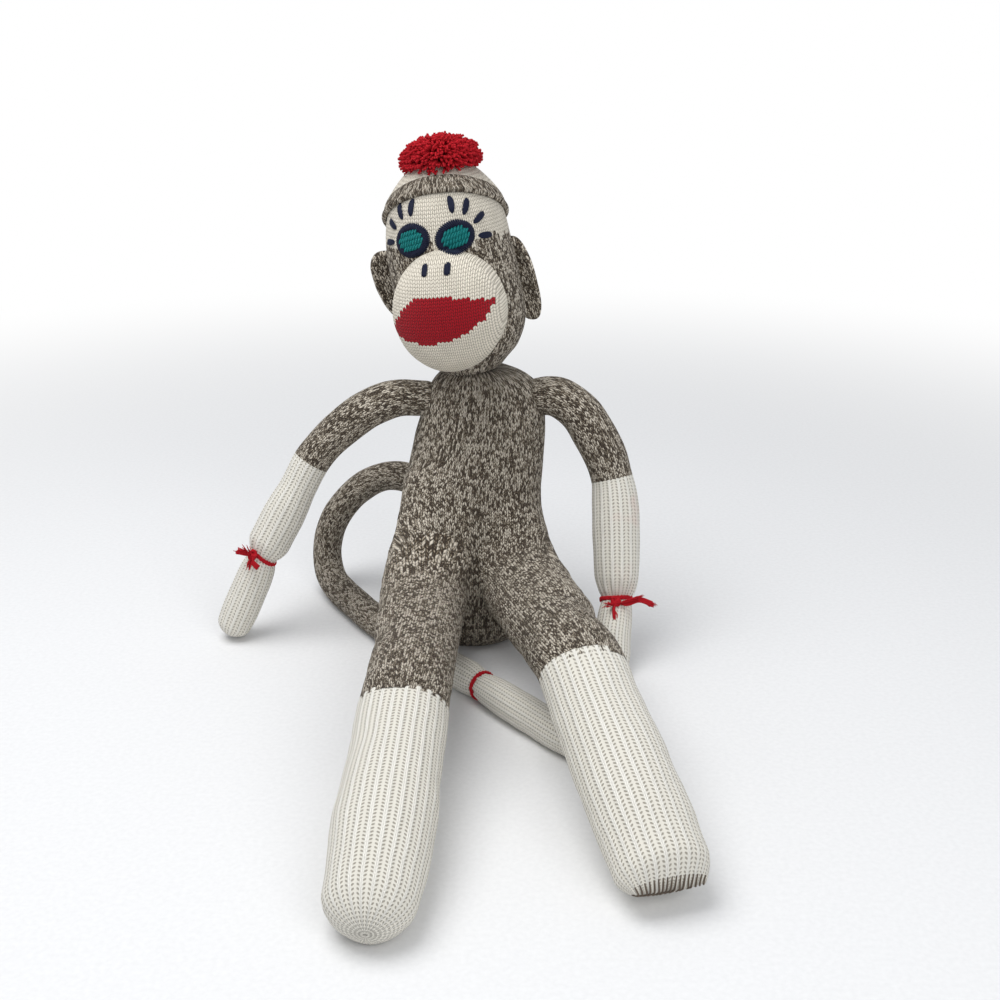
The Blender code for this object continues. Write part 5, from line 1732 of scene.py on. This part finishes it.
def build_doll(finishes: Finishes) -> None:
    """Builds every sub-assembly in order."""
    arms = (
        Arm(
            Side.RIGHT,
            points=(
                (-27.5, 22.0, 146.5), (-45.1, 19.5, 147.0), (-62.6, 17.1, 141.0), (-80.2, 14.6, 128.5),
                (-97.7, 12.1, 109.4), (-105.5, 8.6, 95.3), (-113.2, 5.1, 81.1), (-121.0, 1.6, 67.0),
                (-128.7, -1.9, 52.9), (-134.3, -3.9, 39.7), (-140.2, -5.9, 26.6), (-146.2, -7.9, 13.4),
                (-151.0, -9.6, 2.5),
            ),
            stations=(
                Station(0.0, 10.6, 10.6), Station(0.2, 11.3, 11.3), Station(0.5, 11.6, 11.6),
                Station(1.0, 11.1, 11.1), Station(1.25, 11.2, 11.2), Station(1.6, 12.7, 12.7),
                Station(1.86, 12.7, 12.7), Station(1.95, 10.4, 10.4), Station(2.00, 8.4, 8.4),
                Station(2.05, 8.8, 8.8), Station(2.15, 10.0, 10.0), Station(2.35, 10.9, 10.9),
                Station(2.65, 11.2, 11.2), Station(2.84, 10.6, 10.6),
            ),
            ribs=14, wales=28,
        ),
        Arm(
            Side.LEFT,
            points=(
                (39.5, 22.0, 147.5), (50.9, 16.5, 149.0), (63.4, 11.0, 142.2), (74.8, 5.5, 126.5),
                (84.7, 0.1, 101.8), (86.4, -7.4, 84.9), (86.9, -14.9, 68.6), (87.0, -22.4, 52.5),
                (86.7, -29.8, 36.5), (85.5, -37.9, 27.4), (83.5, -45.9, 18.4), (82.4, -53.9, 9.4),
                (81.4, -61.0, 1.8),
            ),
            stations=(
                Station(0.0, 11.0, 11.0), Station(0.25, 12.1, 12.1), Station(0.6, 13.0, 13.0),
                Station(1.0, 12.6, 12.6), Station(1.15, 13.6, 13.6), Station(1.4, 14.2, 14.2),
                Station(1.80, 13.2, 13.2), Station(1.94, 10.4, 10.4), Station(2.00, 8.4, 8.4),
                Station(2.05, 8.8, 8.8), Station(2.18, 9.9, 9.9), Station(2.4, 10.8, 10.8),
                Station(2.7, 11.2, 11.2), Station(2.84, 10.6, 10.6),
            ),
            ribs=15, wales=30,
        ),
    )
    legs = (
        Leg(
            Side.RIGHT,
            points=(
                (-23.0, -14.0, 38.0), (-24.8, -51.1, 42.4), (-26.5, -88.3, 45.3), (-28.3, -125.4, 46.7),
                (-30.0, -162.6, 46.6), (-32.1, -197.6, 37.9), (-34.3, -232.6, 29.2), (-36.4, -267.6, 20.5),
                (-38.6, -302.6, 11.9),
            ),
            stations=(
                Station(0.0, 18.0, 17.0), Station(0.15, 21.8, 20.0), Station(0.5, 22.4, 20.4),
                Station(0.98, 22.4, 20.4), Station(1.2, 22.4, 20.4), Station(1.6, 23.6, 21.4),
                Station(1.86, 20.6, 18.6),
            ),
            tip=Tip.ROUND, tip_reach=0.90, tilt=0.2, knee_set=0.013,
        ),
        Leg(
            Side.LEFT,
            points=(
                (23.0, -14.0, 38.0), (31.5, -49.8, 45.8), (40.1, -85.7, 52.0), (48.6, -121.5, 56.8),
                (57.2, -157.4, 60.0), (65.8, -187.7, 48.1), (74.5, -218.1, 36.3), (83.1, -248.5, 24.4),
                (91.8, -278.9, 12.5),
            ),
            stations=(
                Station(0.0, 18.0, 17.0), Station(0.15, 21.8, 20.0), Station(0.5, 22.4, 20.4),
                Station(0.98, 22.4, 20.4), Station(1.2, 22.6, 20.6), Station(1.6, 23.4, 21.0),
                Station(1.86, 22.0, 17.5),
            ),
            tip=Tip.SEAMED, tip_reach=0.62, tilt=0.2,
        ),
    )
    tail = Tail(
        points=(
            (-8.0, 36.0, 66.7), (-21.0, 44.4, 76.2), (-34.1, 52.4, 81.7), (-46.1, 60.3, 83.1),
            (-58.1, 66.8, 81.6), (-77.7, 70.0, 69.6), (-92.5, 71.5, 51.6), (-100.0, 71.0, 31.0),
            (-99.5, 66.0, 13.5), (-89.7, 44.9, 9.6), (-72.5, 14.8, 9.4), (-52.2, -16.0, 9.4),
            (-32.2, -41.1, 9.4), (-21.7, -53.4, 9.4), (-11.2, -65.6, 9.4), (-0.7, -77.9, 9.4),
            (9.8, -90.1, 9.4), (23.0, -106.6, 9.4), (36.2, -123.0, 9.4), (49.5, -139.5, 9.4),
            (62.7, -156.0, 9.4),
        ),
        stations=(
            Station(0.0, 9.0, 8.6), Station(0.3, 10.0, 9.5), Station(1.0, 10.0, 9.5),
            Station(2.0, 10.1, 9.6), Station(3.0, 10.1, 9.6), Station(3.6, 10.0, 9.5),
            Station(3.84, 9.2, 8.8), Station(3.93, 7.6, 7.4), Station(4.02, 9.0, 8.6),
            Station(4.2, 10.0, 9.5), Station(4.7, 10.1, 9.6), Station(4.9, 9.4, 9.0),
        ),
    )
    Body(legs).build(finishes)
    for leg in legs:
        leg.build(finishes)
    Neck().build(finishes)
    Head().build(finishes)
    for arm in arms:
        arm.build(finishes)
    tail.build(finishes)
    WristTie(
        Side.RIGHT, centre=(-128.6, -1.9, 53.3), ahead=(-0.70, -0.12, -0.80), knot=(-133.0, -12.5, 57.5),
        ends=(((-137.0, -15.4, 59.8), (-141.6, -15.9, 61.7)), ((-132.5, -16.4, 54.8), (-129.0, -17.9, 51.3))),
        tufts=(
            ((-134.0, -14.4, 58.3), (-136.5, -17.9, 64.3), 16, 1.6),
            ((-134.0, -14.4, 58.3), (-142.0, -16.4, 61.1), 14, 1.5),
            ((-133.0, -14.4, 56.3), (-135.5, -18.9, 52.3), 10, 1.6),
        ),
        radius=9.0,
    ).build(finishes)
    WristTie(
        Side.LEFT, centre=(86.5, -29.7, 36.7), ahead=(0.06, -0.46, -0.89), knot=(85.4, -40.0, 39.8),
        ends=(
            ((91.4, -43.5, 39.5), (98.4, -44.0, 42.5), (106.9, -42.5, 39.0)),
            ((83.9, -44.5, 36.0), (84.0, -47.5, 31.0)),
        ),
        tufts=(
            ((85.4, -42.5, 39.0), (100.4, -44.0, 44.5), 12, 1.3),
            ((101.4, -43.5, 42.0), (108.4, -42.5, 38.5), 10, 1.2),
            ((84.4, -43.5, 36.0), (84.9, -48.0, 29.0), 12, 1.3),
            ((84.4, -42.5, 39.0), (78.4, -44.5, 39.5), 8, 1.1),
        ),
        radius=9.0,
    ).build(finishes)


def build_stage() -> None:
    """A plain pale floor, soft studio light and the photograph's camera."""
    bpy.ops.object.select_all(action="DESELECT")
    bpy.ops.mesh.primitive_plane_add(size=6, location=(0, 0, 0))
    floor = bpy.context.object
    floor.name = "floor"
    recipe = Recipe("matt_white_paper")
    grain = recipe.add("TexNoise", {"Vector": recipe.add("TexCoord", output="Object"), "Scale": 400.0})
    paper = recipe.add(
        "MapRange", {"Value": grain, "From Min": 0.3, "From Max": 0.7, "To Min": 0.80, "To Max": 0.84}
    )
    surface = recipe.add("BsdfPrincipled", {"Base Color": paper, "Roughness": 0.9})
    far_white = recipe.add("Emission", {"Color": (1.0, 1.0, 1.0, 1.0), "Strength": 1.0})
    place = recipe.add("TexCoord", output="Object")
    apart = recipe.add("VectorMath", {0: place}, "Value", operation="LENGTH")
    far = recipe.add(
        "MapRange", {"Value": apart, "From Min": 0.30, "From Max": 1.1, "To Min": 0.0, "To Max": 1.0},
        interpolation_type="SMOOTHSTEP",
    )
    to_camera = recipe.add("LightPath", output="Is Camera Ray")
    fade = recipe.add("Math", {0: far, 1: to_camera}, operation="MULTIPLY")
    faded = recipe.add("MixShader", {0: fade, 1: surface, 2: far_white})
    recipe.add("OutputMaterial", {"Surface": faded})
    floor.data.materials.append(recipe.material)

    world = bpy.data.worlds.new("studio")
    bpy.context.scene.world = world
    world.use_nodes = True
    nodes, links = world.node_tree.nodes, world.node_tree.links
    nodes.clear()
    seen = nodes.new("ShaderNodeLightPath")
    lamp_light = nodes.new("ShaderNodeBackground")
    lamp_light.inputs["Color"].default_value = linear("#F4F7FC")
    lamp_light.inputs["Strength"].default_value = 0.55
    white = nodes.new("ShaderNodeBackground")
    white.inputs["Color"].default_value = (1, 1, 1, 1)
    white.inputs["Strength"].default_value = 1.0
    chosen = nodes.new("ShaderNodeMixShader")
    out = nodes.new("ShaderNodeOutputWorld")
    links.new(seen.outputs["Is Camera Ray"], chosen.inputs[0])
    links.new(lamp_light.outputs[0], chosen.inputs[1])
    links.new(white.outputs[0], chosen.inputs[2])
    links.new(chosen.outputs[0], out.inputs["Surface"])

    for name, place, size, power in (
        ("overhead_lamp", (-0.35, -0.15, 1.15), 0.9, 9.0),
        ("front_lamp", (0.55, -1.1, 0.8), 0.8, 4.5),
    ):
        data = bpy.data.lights.new(name, "AREA")
        data.shape = "DISK"
        data.size = size
        data.energy = power
        lamp = bpy.data.objects.new(name, data)
        lamp.location = place
        aim = Vector((0, -0.08, 0.08)) - Vector(place)
        lamp.rotation_euler = aim.to_track_quat("-Z", "Y").to_euler()
        bpy.context.scene.collection.objects.link(lamp)

    data = bpy.data.cameras.new("photo_camera")
    data.sensor_width = 36.0
    data.lens = 46.8
    data.clip_start = 0.05
    camera = bpy.data.objects.new("photo_camera", data)
    camera.location = (0.017, -0.736, 0.371)
    camera.rotation_euler = (math.radians(69), 0, 0)
    bpy.context.scene.collection.objects.link(camera)
    bpy.context.scene.camera = camera
    bpy.context.scene.view_settings.view_transform = "Standard"


def main() -> None:
    """Builds the doll and its stage."""
    logging.basicConfig(level=logging.INFO, format="%(message)s")
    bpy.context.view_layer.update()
    finishes = Finishes()
    build_doll(finishes)
    build_stage()


if __name__ == "__main__":
    main()
